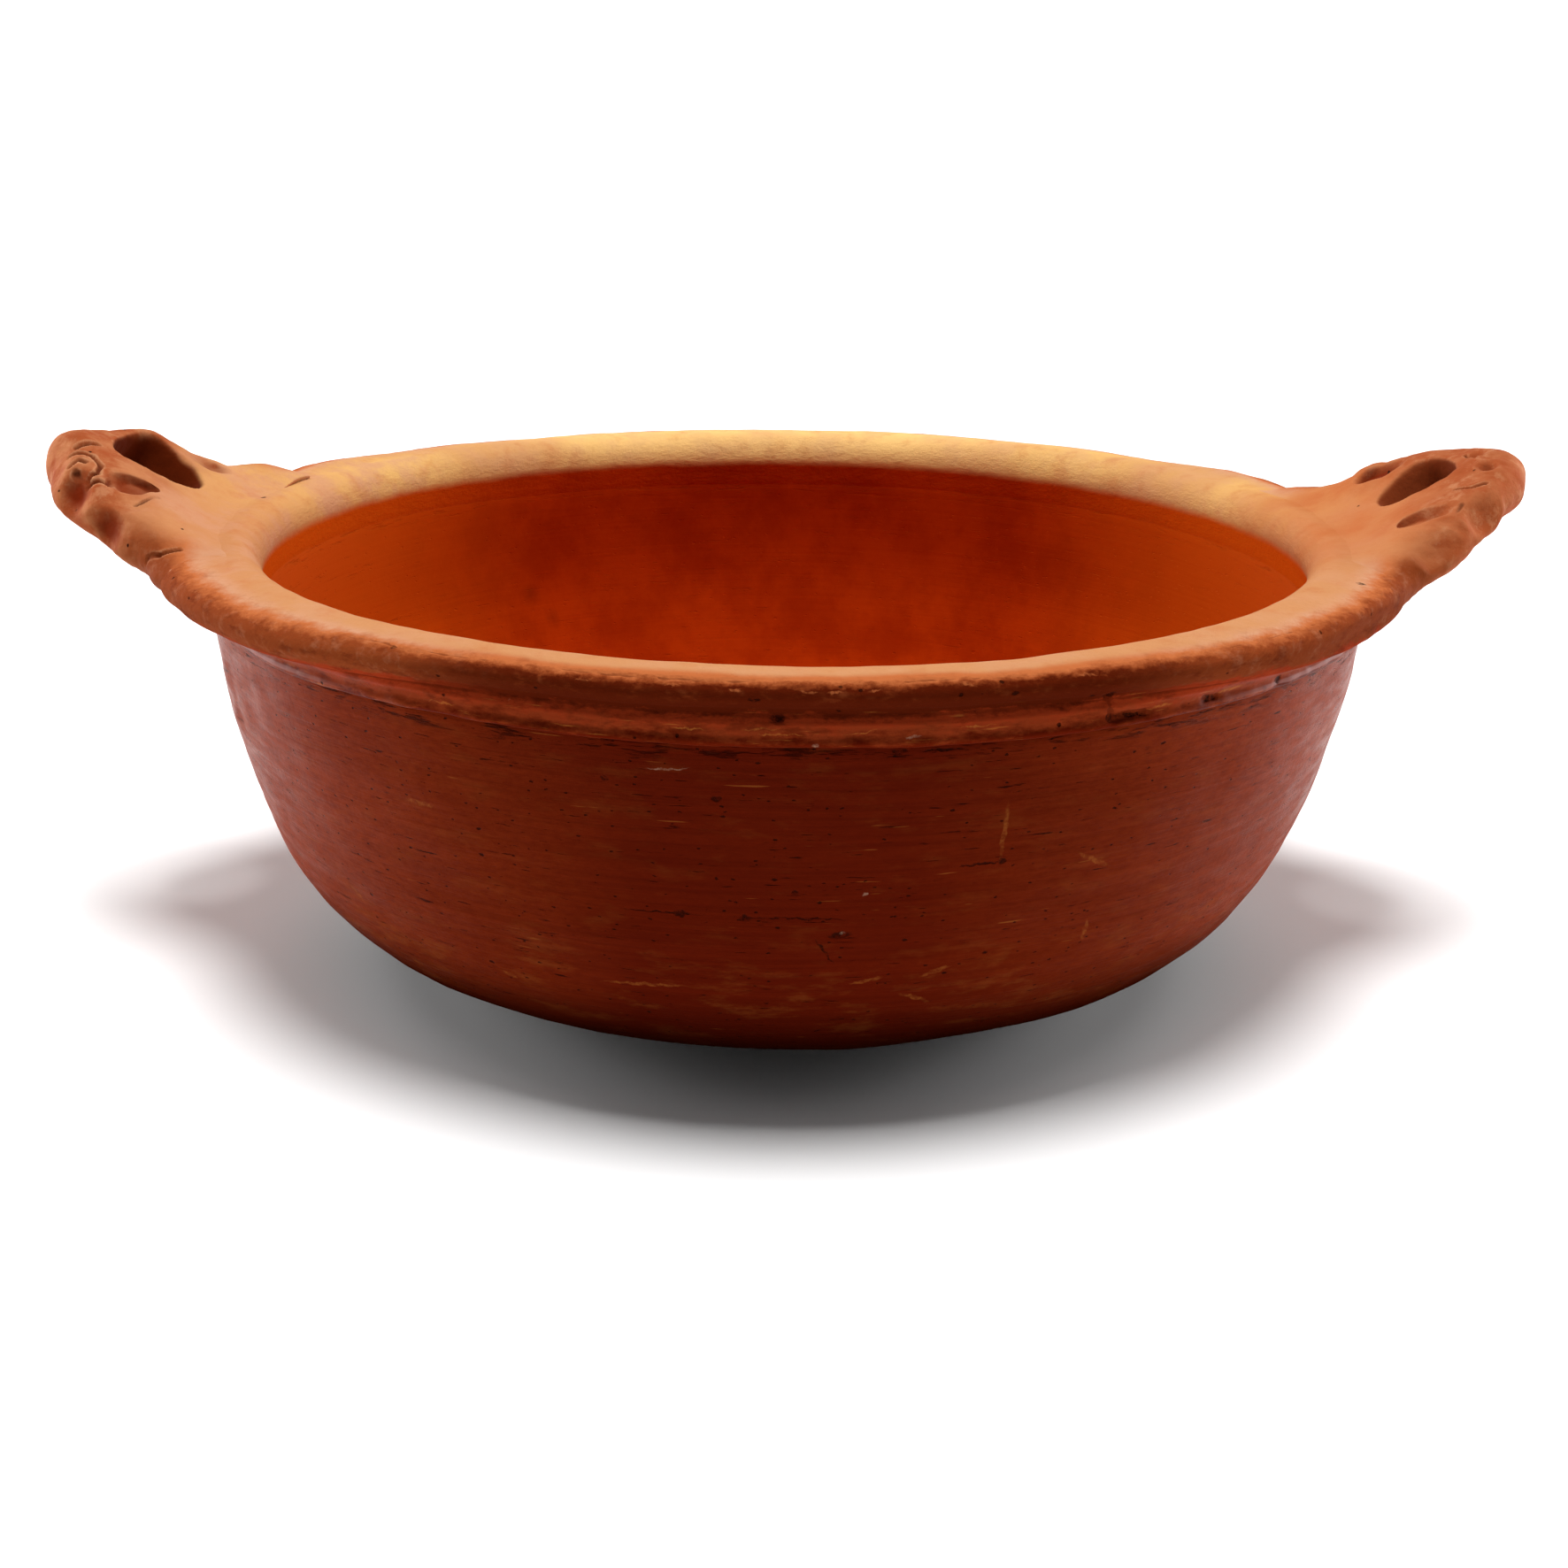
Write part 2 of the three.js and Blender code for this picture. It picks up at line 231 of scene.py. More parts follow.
def cubic(start, first, second, end, steps):
    """A curve from start to end that is pulled towards two points."""
    knots = [Vector((x, z, 0)) for x, z in (start, first, second, end)]
    return [(p.x, p.y) for p in geometry.interpolate_bezier(*knots, steps + 1)]


def arc(middle, radii, start, end, steps):
    """A stretch of an ellipse, from one angle to another."""
    turns = [start + (end - start) * i / steps for i in range(steps + 1)]
    return [(middle[0] + radii[0] * math.cos(t), middle[1] + radii[1] * math.sin(t)) for t in turns]


def smooth(value, low, high):
    """0 below low, 1 above high, and an even slope between them."""
    t = np.clip((value - low) / (high - low), 0.0, 1.0)
    return t * t * (3 - 2 * t)


def bell(offset, width):
    """1 where the offset is 0, fading out on both sides of it."""
    return np.exp(-((offset / width) ** 2))


def distances(points):
    """How far each point of a curve lies along it."""
    steps = np.linalg.norm(np.diff(np.array(points), axis=0), axis=1)
    return np.concatenate([[0.0], np.cumsum(steps)])


# Solids

def spun(profile, turns, closed=False, zero=0):
    """Turns a profile about the Z axis: a sixteenth of the turn is spun, and then doubled four times.

    Each corner keeps its distance along the profile from point zero, in "along". Turns is a multiple of 16.
    """
    bm = bmesh.new()
    along = bm.verts.layers.float.new("along")
    run = distances(profile)
    corners = []
    for (radius, height), distance in zip(profile, run):
        corner = bm.verts.new((radius, 0, height))
        corner[along] = distance - run[zero]
        corners.append(corner)
    edges = [bm.edges.new(pair) for pair in zip(corners, corners[1:])]
    if closed:
        edges.append(bm.edges.new((corners[-1], corners[0])))
    once_round = {"cent": (0, 0, 0), "axis": (0, 0, 1), "dvec": (0, 0, 0)}
    bmesh.ops.spin(bm, geom=corners + edges, angle=math.tau / 16, steps=turns // 16, **once_round)
    for parts in (16, 8, 4, 2):
        copied = bmesh.ops.duplicate(bm, geom=bm.verts[:] + bm.edges[:] + bm.faces[:])["geom"]
        turned = [item for item in copied if isinstance(item, bmesh.types.BMVert)]
        bmesh.ops.rotate(bm, cent=(0, 0, 0), matrix=Matrix.Rotation(math.tau / parts, 3, "Z"), verts=turned)
    bmesh.ops.remove_doubles(bm, verts=bm.verts, dist=0.001 * MM)
    bmesh.ops.recalc_face_normals(bm, faces=bm.faces)
    return bm


def piece(name, bm):
    """Makes the named object of a bmesh, smooth shaded."""
    mesh = bpy.data.meshes.new(name)
    bm.to_mesh(mesh)
    bm.free()
    mesh.shade_smooth()
    made = bpy.data.objects.new(name, mesh)
    bpy.context.scene.collection.objects.link(made)
    return made


def apply_modifiers(made):
    """Gives an object the mesh that its modifiers make."""
    shaped = made.evaluated_get(bpy.context.evaluated_depsgraph_get())
    mesh = bpy.data.meshes.new_from_object(shaped)
    made.modifiers.clear()
    made.data = mesh


def shape_of(made):
    """Places and normals of an object's corners."""
    mesh = made.data
    places = np.zeros(len(mesh.vertices) * 3)
    normals = np.zeros(len(mesh.vertices) * 3)
    mesh.vertices.foreach_get("co", places)
    mesh.vertex_normals.foreach_get("vector", normals)
    return places.reshape(-1, 3), normals.reshape(-1, 3)


def reshape(made, places):
    """Moves an object's corners."""
    made.data.vertices.foreach_set("co", places.ravel())
    made.data.update()


def store(made, name, values):
    """Keeps one number for each corner, for the material to read."""
    layer = made.data.attributes.get(name) or made.data.attributes.new(name, "FLOAT", "POINT")
    layer.data.foreach_set("value", np.asarray(values, np.float32))


def stored(made, name):
    """The numbers that an object's corners keep under a name."""
    values = np.zeros(len(made.data.vertices), np.float32)
    made.data.attributes[name].data.foreach_get("value", values)
    return values.astype(float)


def bulge(made, rounds, scale):
    """How far each corner stands out of the surface round it, in scales, below 0 in a hollow."""
    places, normals = shape_of(made)
    mesh = made.data
    ends = np.zeros(len(mesh.edges) * 2, np.int64)
    mesh.edges.foreach_get("vertices", ends)
    a, b = ends.reshape(-1, 2).T
    count_of = np.bincount(ends, minlength=len(places))[:, None]
    even = places.copy()
    for _ in range(rounds):
        total = np.zeros_like(even)
        for axis in range(3):
            total[:, axis] += np.bincount(a, weights=even[b, axis], minlength=len(even))
            total[:, axis] += np.bincount(b, weights=even[a, axis], minlength=len(even))
        even = (even + total / count_of) / 2
    return np.einsum("ij,ij->i", places - even, normals) / scale


# Hand marks

def lumps(places, size, seed, flat=1.0):
    """Soft noise from -1 to 1 with lumps of a size, drawn out along the horizontal if flat is below 1."""
    scaled = places / size
    scaled[:, 2] /= flat
    start = Vector((seed * 17.3, seed * 5.1, seed * 11.7))
    return np.array([noise.noise(Vector(p) + start) for p in scaled])


def hand_drift(places):
    """How far the whole vessel strays from true, the same at its bowl, rim and lugs."""
    turn = np.arctan2(places[:, 1], places[:, 0])
    out = 0.22 * np.sin(3 * turn + 0.7) + 0.16 * np.sin(5 * turn + 2.1) + 0.1 * np.sin(9 * turn + 4.0)
    up = 0.2 * np.sin(2 * turn + 1.2) + 0.14 * np.sin(4 * turn + 3.3) + 0.08 * np.sin(11 * turn)
    level = smooth(places[:, 2], 20 * MM, 82 * MM) * (1 - smooth(places[:, 2], 88 * MM, 94 * MM))
    out += 1.9 * bell(np.degrees(turn) + 24, 24) * level
    moved = places.copy()
    radius = np.maximum(np.hypot(places[:, 0], places[:, 1]), MM)
    height = smooth(places[:, 2], 5 * MM, 80 * MM)
    moved[:, 0] += out * MM * height * places[:, 0] / radius
    moved[:, 1] += out * MM * height * places[:, 1] / radius
    moved[:, 2] += up * MM * height
    return moved


def polar(degrees, radius, height):
    """A place given by its angle from +X, its radius and its height, the last two in millimetres."""
    turn = math.radians(degrees)
    return np.array([radius * MM * math.cos(turn), radius * MM * math.sin(turn), height * MM])


def inner_relief(places, sizes):
    """Soft relief of the inside, which the bowl and the rim share."""
    return lumps(places, 26 * MM, 2, flat=0.6) * sizes.lump_height * 0.35


def blob(places, centre, size, steep=0.5):
    """1 at centre, fading to 0 at a size that is given round the bowl and across that."""
    turn = math.atan2(centre[1], centre[0])
    round_the_bowl = np.array([-math.sin(turn), math.cos(turn), 0])
    across = (places - centre) @ round_the_bowl
    rest = places - centre - np.outer(across, round_the_bowl)
    return 1 - smooth(np.hypot(across / size[0], np.linalg.norm(rest, axis=1) / size[1]), steep, 1.0)


def trail(places, path, width):
    """1 along a path of (degrees, radius, height) points, fading to 0 at half the width from it."""
    flat = np.array([1.0, 1.0, 0.4])
    corners = [polar(*p) * flat for p in path]
    nearest = np.full(len(places), 1.0)
    for a, b in zip(corners, corners[1:]):
        line = b - a
        t = np.clip((places * flat - a) @ line / (line @ line), 0, 1)
        nearest = np.minimum(nearest, np.linalg.norm(places * flat - a - np.outer(t, line), axis=1))
    return 1 - smooth(nearest, 0.15 * width, 0.5 * width)


# Materials

def cells(size, flat):
    """How many patches of a size, in millimetres, fit in a metre of each axis."""
    across = 1 / (size * MM)
    return (across, across, across / flat)


class Level:
    """What a node gives over the surface. Arithmetic joins two numbers, and a | b is the greater one."""

    def __init__(self, skin, socket):
        self.skin = skin
        self.socket = socket

    def __add__(self, other):
        return self.skin.math("ADD", self, other)

    def __sub__(self, other):
        return self.skin.math("SUBTRACT", self, other)

    def __mul__(self, other):
        return self.skin.math("MULTIPLY", self, other)

    def __truediv__(self, other):
        return self.skin.math("DIVIDE", self, other)

    def __or__(self, other):
        return self.skin.math("MAXIMUM", self, other)

    def __abs__(self):
        return self.skin.math("ABSOLUTE", self)

    def twin(self, name):
        """Another output of the same node."""
        return Level(self.skin, self.socket.node.outputs[name])


class Skin:
    """A material's nodes, with one short call for each kind that the clays need, in millimetres."""

    def __init__(self, name, colours=None):
        self.colours = colours
        self.material = bpy.data.materials.new(name)
        self.material.use_nodes = True
        self.tree = self.material.node_tree
        self.tree.nodes.clear()
        self.surface = self.tree.nodes.new("ShaderNodeBsdfPrincipled")
        output = self.tree.nodes.new("ShaderNodeOutputMaterial")
        self.tree.links.new(self.surface.outputs["BSDF"], output.inputs["Surface"])
        self.object = self.node("ShaderNodeTexCoord", output="Object")
        self.x, self.y, self.z = [axis / MM for axis in self.split(self.object)]

    def feed(self, value, socket):
        """Links a level to a socket, or sets the socket's value, which may be a colour's name."""
        value = getattr(self.colours, value) if isinstance(value, str) else value
        if isinstance(value, Level):
            self.tree.links.new(value.socket, socket)
        elif socket.type == "RGBA":
            socket.default_value = (*value, 1.0)
        else:
            socket.default_value = value

    def node(self, kind, inputs=None, output=0, **settings):
        """Adds a node with its settings and inputs, and gives one of its outputs."""
        made = self.tree.nodes.new(kind)
        for name, value in settings.items():
            setattr(made, name, value)
        for name, value in (inputs or {}).items():
            self.feed(value, made.inputs[name])
        return Level(self, made.outputs[output])

    def math(self, operation, a, b=0.0):
        return self.node("ShaderNodeMath", {0: a, 1: b}, operation=operation)

    def vector(self, operation, inputs, output=0):
        return self.node("ShaderNodeVectorMath", inputs, output, operation=operation)

    def split(self, vector):
        """The three numbers of a vector."""
        first = self.node("ShaderNodeSeparateXYZ", {0: vector})
        return [first.twin(name) for name in "XYZ"]

    def stretched(self, size, flat=1.0):
        """Object coordinates counted in a size, which is less along the vertical where flat is below 1."""
        return self.node("ShaderNodeMapping", {"Vector": self.object, "Scale": cells(size, flat)})

    def cloud(self, size, detail=4.0, flat=1.0, roughness=0.55, seed=0.0):
        """Noise with patches of a size, drawn out along the horizontal where flat is below 1."""
        inputs = {"Vector": self.stretched(size, flat), "W": seed, "Scale": 1.0}
        inputs |= {"Detail": detail, "Roughness": roughness}
        return self.node("ShaderNodeTexNoise", inputs, noise_dimensions="4D")

    def brushed(self, along, radius, narrow, long):
        """Brush strokes that slant down the rim's roll, from the distance along its section."""
        turn = self.math("ARCTAN2", self.y, self.x) * radius
        place = self.node("ShaderNodeCombineXYZ", {0: (turn + along) / narrow, 1: (turn - along) / long})
        return self.node("ShaderNodeTexNoise", {"Vector": place, "Scale": 1.0, "Detail": 3.0})

    def wobbled(self, size, far):
        """Object coordinates that stray by noise, so that the marks on them have ragged edges."""
        inputs = {"Vector": self.stretched(size), "Scale": 1.0, "Detail": 3.0}
        stray = self.node("ShaderNodeTexNoise", inputs, "Color")
        stray = self.vector("SUBTRACT", {0: stray, 1: (0.5, 0.5, 0.5)})
        return self.vector("MULTIPLY_ADD", {0: stray, 1: (far * MM, far * MM, far * MM), 2: self.object})

    def marks(self, places):
        """1 in a few ragged marks, given by their places, half sizes out, round and up, and leans."""
        place = self.wobbled(1.6, 1.5)
        nearest = 9.0
        for centre, size, lean in places:
            turned = (math.radians(lean), 0, math.radians(centre[0]))
            inputs = {"Vector": place, "Location": polar(*centre), "Rotation": turned}
            inputs["Scale"] = [side * MM for side in size]
            local = self.node("ShaderNodeMapping", inputs, vector_type="TEXTURE")
            nearest = self.math("MINIMUM", self.vector("LENGTH", {0: local}, "Value"), nearest)
        broken = self.rise(self.cloud(1.3, 4, roughness=0.7, seed=50), 0.4, 0.58, 0.25, 1.0)
        return self.rise(nearest, 1.25, 0.6) * broken

    def specks(self, size, chance, radius=0.35, flat=1.0):
        """1 in small ragged spots, in a share of the cells of a size."""
        place = self.vector("MULTIPLY", {0: self.wobbled(1.1, 0.8), 1: cells(size, flat)})
        away = self.node("ShaderNodeTexVoronoi", {"Vector": place, "Scale": 1.0}, "Distance", feature="F1")
        pick = self.node("ShaderNodeSeparateColor", {0: away.twin("Color")})
        return self.math("GREATER_THAN", pick, 1 - chance) * self.rise(away, radius, radius * 0.5)

    def rise(self, value, low, high, start=0.0, end=1.0, kind="SMOOTHSTEP"):
        """A slope from start at low to end at high, eased at both ends unless its kind is LINEAR."""
        inputs = {"Value": value, "From Min": low, "From Max": high, "To Min": start, "To Max": end}
        return self.node("ShaderNodeMapRange", inputs, interpolation_type=kind)

    def mix(self, factor, a, b):
        return self.node("ShaderNodeMix", {"Factor": factor, 6: a, 7: b}, 2, data_type="RGBA")

    def kept(self, name):
        """A number that the piece's corners keep."""
        return self.node("ShaderNodeAttribute", output="Fac", attribute_name=name)

    def steep(self, flat, upright):
        """0 where the surface faces up, rising to 1 where it stands upright or hangs over."""
        up = self.split(self.node("ShaderNodeNewGeometry", output="Normal"))[2]
        return self.rise(up, upright, flat, 1.0, 0.0)

    def radius(self):
        return self.math("SQRT", self.x * self.x + self.y * self.y)

    def bands(self, value, stops):
        """Colours along a value, from pairs of a place and a colour's name."""
        low, high = stops[0][0], stops[-1][0]
        shade = self.node("ShaderNodeValToRGB", {0: self.rise(value, low, high, kind="LINEAR")})
        elements = shade.socket.node.color_ramp.elements
        while len(elements) < len(stops):
            elements.new(0.5)
        for element, (place, name) in zip(elements, stops):
            element.position = (place - low) / (high - low)
            element.color = (*getattr(self.colours, name), 1.0)
        return shade

    def finish(self, shade, roughness, height, depth, specular=0.5):
        """Sets the surface's colour, roughness, gloss and bump."""
        facing = self.node("ShaderNodeLayerWeight", output="Facing")
        inputs = {"Base Color": shade, "Roughness": roughness}
        inputs["Specular IOR Level"] = self.rise(facing, 0.2, 0.95, 0.03, 0.6) * specular
        relief = {"Height": height, "Strength": 1.0, "Distance": depth * MM}
        inputs["Normal"] = self.node("ShaderNodeBump", relief)
        for name, value in inputs.items():
            self.feed(value, self.surface.inputs[name])
        return self.material


# Colours by the distance in millimetres below the top of the lip's roll, at the front and at the sides
# The dark crust bands under the lip are partly the skin's own colour and partly painted shade under the
# roll.
FRONT_BANDS = [
    (-3, "flush"), (-0.4, "flush"), (1.6, "pink"), (3.2, "crust_and_painted_shade"),
    (12.3, "crust_and_painted_shade"), (14.3, "collar"), (17, "ridge"), (19, "burnished"),
]

ROLL_BANDS = [
    (-4, "rosy"), (-0.5, "flush"), (2.6, "pink"), (9.5, "pink"), (11, "collar"),
    (15, "collar"), (16.8, "ridge"), (18.8, "ridge"), (19.8, "burnished"),
]

PIT_DARKNESS = 0.85
PIT_DEPTH = 0.8

# The rough front of the lip, partly painted shade, reaches further round to the right, by this share for
# each millimetre
CRUST_LEAN = 0.0009


def flange_shade(skin):
    """The smoothed buff top that the rim and the lugs' roots share."""
    yellow = skin.rise(skin.cloud(45, 2, seed=3), 0.4, 0.6)
    shade = skin.mix((yellow * 0.6 + 0.4) * skin.rise(skin.y, -30, 70), "buff", "buff_yellow")
    # Painted light on the rim's far side.
    shade = skin.mix(skin.rise(skin.y, 96, 118, 0.0, 0.7), shade, "far_rim_painted_light")
    bloom = skin.rise(skin.cloud(14, 6, roughness=0.65, seed=40), 0.42, 0.62)
    shade = skin.mix(bloom * skin.rise(skin.x, -80, -110, 0.3, 0.75), shade, "rosy")
    blush = skin.rise(skin.cloud(20, 5, seed=8), 0.36, 0.66, 0.6, 1.0) * skin.rise(skin.x, 98, 130)
    blush = blush * skin.rise(skin.y, -55, -12, 0.1, 1.0) * skin.rise(skin.y, 62, 25)
    shade = skin.mix(blush, shade, "flush")
    shade = skin.mix(skin.rise(skin.x, -95, -130, 0.0, 0.18), shade, "flush")
    faint = skin.rise(skin.cloud(7, 6, roughness=0.65, seed=10), 0.48, 0.7)
    return skin.mix(faint * 0.35, shade, "flush")


def edge_of_roll(skin):
    """How far the edge between the buff top and the roll strays."""
    return (skin.cloud(16, 5, roughness=0.6, seed=13) - 0.5) * 9


def roll_shade(skin, run):
    """The roll at the bowl's sides, from its top down, by the distance along its section."""
    mottled = (skin.cloud(9, 6, roughness=0.7, seed=41) - 0.5) * 7
    shade = skin.bands(run + mottled, ROLL_BANDS)
    light = skin.rise(skin.cloud(3.5, 6, roughness=0.7, seed=42), 0.5, 0.72, 0.0, 0.2)
    return skin.mix(light * skin.rise(run, 12, 8), shade, "rosy")


def inside_shade(skin):
    """The inside: deep orange, with painted light on its left and right sides, and buff from the mouth up.
    """
    patches = skin.rise(skin.cloud(24, 6, roughness=0.65, seed=4), 0.36, 0.64)
    shade = skin.mix(patches, "inside_deep", "inside")
    # Painted light: lighter towards the left and right walls of the inside.
    shade = skin.mix(skin.rise(abs(skin.x), 60, 122), shade, "inside_painted_side_light")
    wobble = (skin.cloud(14, 3, seed=6) - 0.5) * 1.5
    return skin.mix(skin.rise(skin.z + wobble, 90, 92.6), shade, flange_shade(skin))


def burnished_material(colours):
    """The burnished outside of the bowl and its matte inside."""
    skin = Skin("burnished_clay", colours)
    lines = skin.cloud(60, 6, flat=0.02, roughness=0.6, seed=1)
    broad = skin.cloud(50, 4, flat=0.35, seed=2)
    blend = lines * 0.6 + broad * 0.4
    wall = skin.mix(skin.rise(blend, 0.38, 0.62), "burnished_dark", "burnished")
    # Painted light: the wall grows lighter with its distance sideways from the middle, standing in for the
    # light on its sides.
    lighter = skin.rise(abs(skin.x) + broad * 20, 35, 132, kind="LINEAR")
    wall = skin.mix(lighter * skin.rise(blend, 0.25, 0.7, 0.75, 1.0), wall, "burnished_painted_side_light")
    fine = skin.rise(skin.cloud(3, 6, flat=0.4, roughness=0.75, seed=51), 0.4, 0.64, 0.0, 0.38)
    wall = skin.mix(fine, wall, "burnished_dark")
    tinge = skin.rise(skin.cloud(13, 6, flat=0.3, roughness=0.65, seed=5), 0.5, 0.7)
    wall = skin.mix(tinge * (skin.rise(skin.z, 46, 24) * 0.1 + 0.05), wall, "ochre")
    broken = skin.rise(skin.cloud(9, 6, flat=0.12, roughness=0.7, seed=30), 0.52, 0.66)
    under_ridge = broken * skin.rise(skin.z, 81.5, 84.5)
    wall = skin.mix(under_ridge * 0.75, wall, "soot")
    # Painted shade: the wall grows darker towards the foot.
    wall = skin.mix(skin.rise(skin.z, 35, 12, 0.0, 0.96), wall, "char")
    scratch = skin.rise(skin.cloud(13, 2, flat=0.05, seed=9), 0.71, 0.75) | skin.marks(WALL_SCRATCHES)
    wall = skin.mix(scratch * 0.24, wall, "ochre")
    cracks = skin.rise(skin.cloud(8, 4, flat=0.07, roughness=0.6, seed=43), 0.64, 0.7)
    pits = skin.specks(3.2, 0.65, radius=0.14, flat=0.45) | skin.specks(8, 0.3, radius=0.08, flat=0.6)
    pits = pits | cracks | skin.marks(WALL_PITS)
    wall = skin.mix(pits * PIT_DARKNESS, wall, "soot")
    pale = skin.specks(13, 0.12, radius=0.045) | skin.marks(WALL_SPECKS)
    wall = skin.mix(pale * 0.26, wall, "speck")

    inner = skin.mix(skin.specks(18, 0.07, radius=0.09), inside_shade(skin), "soot")
    inside = skin.kept("inside")
    shade = skin.mix(skin.kept("pit"), skin.mix(inside, wall, inner), "soot")
    gloss = skin.rise(skin.cloud(9, 4, flat=0.3, seed=7), 0.3, 0.7, 0.3, 0.5)
    roughness = skin.node("ShaderNodeMix", {"Factor": inside, 2: gloss, 3: 0.8}, data_type="FLOAT")
    height = lines * 0.7 + skin.cloud(1.2, 3, seed=11) * 0.25 - pits * PIT_DEPTH - under_ridge * 1.2
    height = height * skin.rise(inside, 0.0, 1.0, 1.0, 0.3)
    return skin.finish(shade, roughness, height, 0.35, skin.rise(skin.z, 18, 70, 0.0, 0.105))


def rim_material(colours, marks):
    """The rim: matte inside, buff on top, rough and dark under the lip, partly with painted shade, and
    smooth on the collar, with a painted highlight along the ridge.
    """
    skin = Skin("rim_clay", colours)
    nose_top, nose_low, ridge = (marks[name] / MM for name in ("nose_top", "nose_low", "ridge"))
    along = skin.kept("along") / MM
    rough_edge = (skin.cloud(6, 6, flat=0.5, roughness=0.7, seed=12) - 0.5) * 8
    torn_edge = (skin.cloud(2.2, 5, flat=0.45, roughness=0.7, seed=53) - 0.5) * 5
    run = along + (rough_edge + torn_edge) - nose_top
    reach = skin.kept("front")
    side = skin.rise(reach + skin.x * CRUST_LEAN, 1.0, 0.6)
    outer = skin.mix(side, skin.bands(run, FRONT_BANDS), roll_shade(skin, run))
    mottle = skin.rise(skin.cloud(4, 6, flat=0.5, roughness=0.7, seed=14), 0.5, 0.7)
    outer = skin.mix(mottle * skin.rise(run, 11, 4) * 0.4, outer, "pink")
    dark = skin.rise(skin.cloud(7, 6, flat=0.35, roughness=0.7, seed=52), 0.48, 0.66, 0.0, 0.55)
    outer = skin.mix(dark * skin.rise(run, 1, 4), outer, "crust_and_painted_shade")
    scratch = skin.rise(skin.cloud(10, 4, flat=0.06, roughness=0.65, seed=44), 0.6, 0.68)
    scratch = scratch * skin.rise(run, 10, 13) | skin.marks(RIM_SCRATCHES)
    outer = skin.mix(scratch * 0.45, outer, "ochre")
    outer = skin.mix(skin.marks(RIM_FLAKES) * 0.5, outer, "flush")
    # Painted shade: the roll's underside is darkened towards the right side.
    shaded = skin.rise(skin.x, 40, 100, 0.0, 0.3) * skin.rise(run, 2, 5) * skin.rise(run, 14, 9)
    outer = skin.mix(shaded, outer, "crust_and_painted_shade")
    streaks = skin.brushed(along, 135, 0.8, 9)
    outer = skin.mix(skin.rise(streaks, 0.5, 0.74, 0.0, 0.08) * side, outer, "flush")
    outer = skin.mix(skin.rise(streaks, 0.5, 0.3, 0.0, 0.12) * side, outer, "collar")

    over = skin.rise(along + edge_of_roll(skin), nose_top - 7, nose_top - 1.5)
    shade = skin.mix(over, flange_shade(skin), outer)
    shade = skin.mix(skin.rise(along, -6, -2), inside_shade(skin), shade)
    # Painted highlight: a thin light line along the ridge, away from the front.
    line = skin.rise(abs(along - ridge), 0.6, 0.2) * skin.rise(reach, 0.7, 0.1, 0.0, 0.75)
    shade = skin.mix(line, shade, "painted_ridge_highlight")
    # Painted highlight on raised edges, and below it painted shade in the hollows.
    worn = skin.rise(skin.kept("worn"), 0.3, 1.6, 0.0, 0.35)
    worn = worn * skin.rise(skin.cloud(7, 5, seed=17), 0.42, 0.62) * skin.rise(run, 12, 8)
    shade = skin.mix(worn, shade, "flush")
    shade = skin.mix(skin.rise(skin.kept("worn"), -0.25, -1.0) * 0.5, shade, "crust_and_painted_shade")
    low = skin.rise(run, -2, 3)
    pits = skin.specks(3.6, 0.24, radius=0.13) * low | skin.specks(7, 0.2, radius=0.12, flat=0.6) * low
    pits = pits | skin.specks(16, 0.1, radius=0.04) | skin.marks(RIM_MARKS)
    shade = skin.mix(pits * PIT_DARKNESS, shade, "soot")
    pale = skin.specks(8, 0.14, radius=0.06) * low | skin.marks(RIM_SPECKS)
    shade = skin.mix(pale * 0.3, shade, "speck")

    collar = skin.rise(along, nose_low, nose_low + 2)
    flakes = skin.cloud(4, 6, flat=0.4, roughness=0.7, seed=16) * skin.rise(collar, 0.0, 1.0, 0.8, 0.2)
    height = flakes + streaks * 0.07 * side - pits * PIT_DEPTH + skin.cloud(1.0, 4, seed=15) * 0.25
    roughness = skin.rise(collar, 0.0, 1.0, 0.85, 0.5)
    return skin.finish(shade, roughness, height, 0.5, collar * side * 0.16 + 0.02)


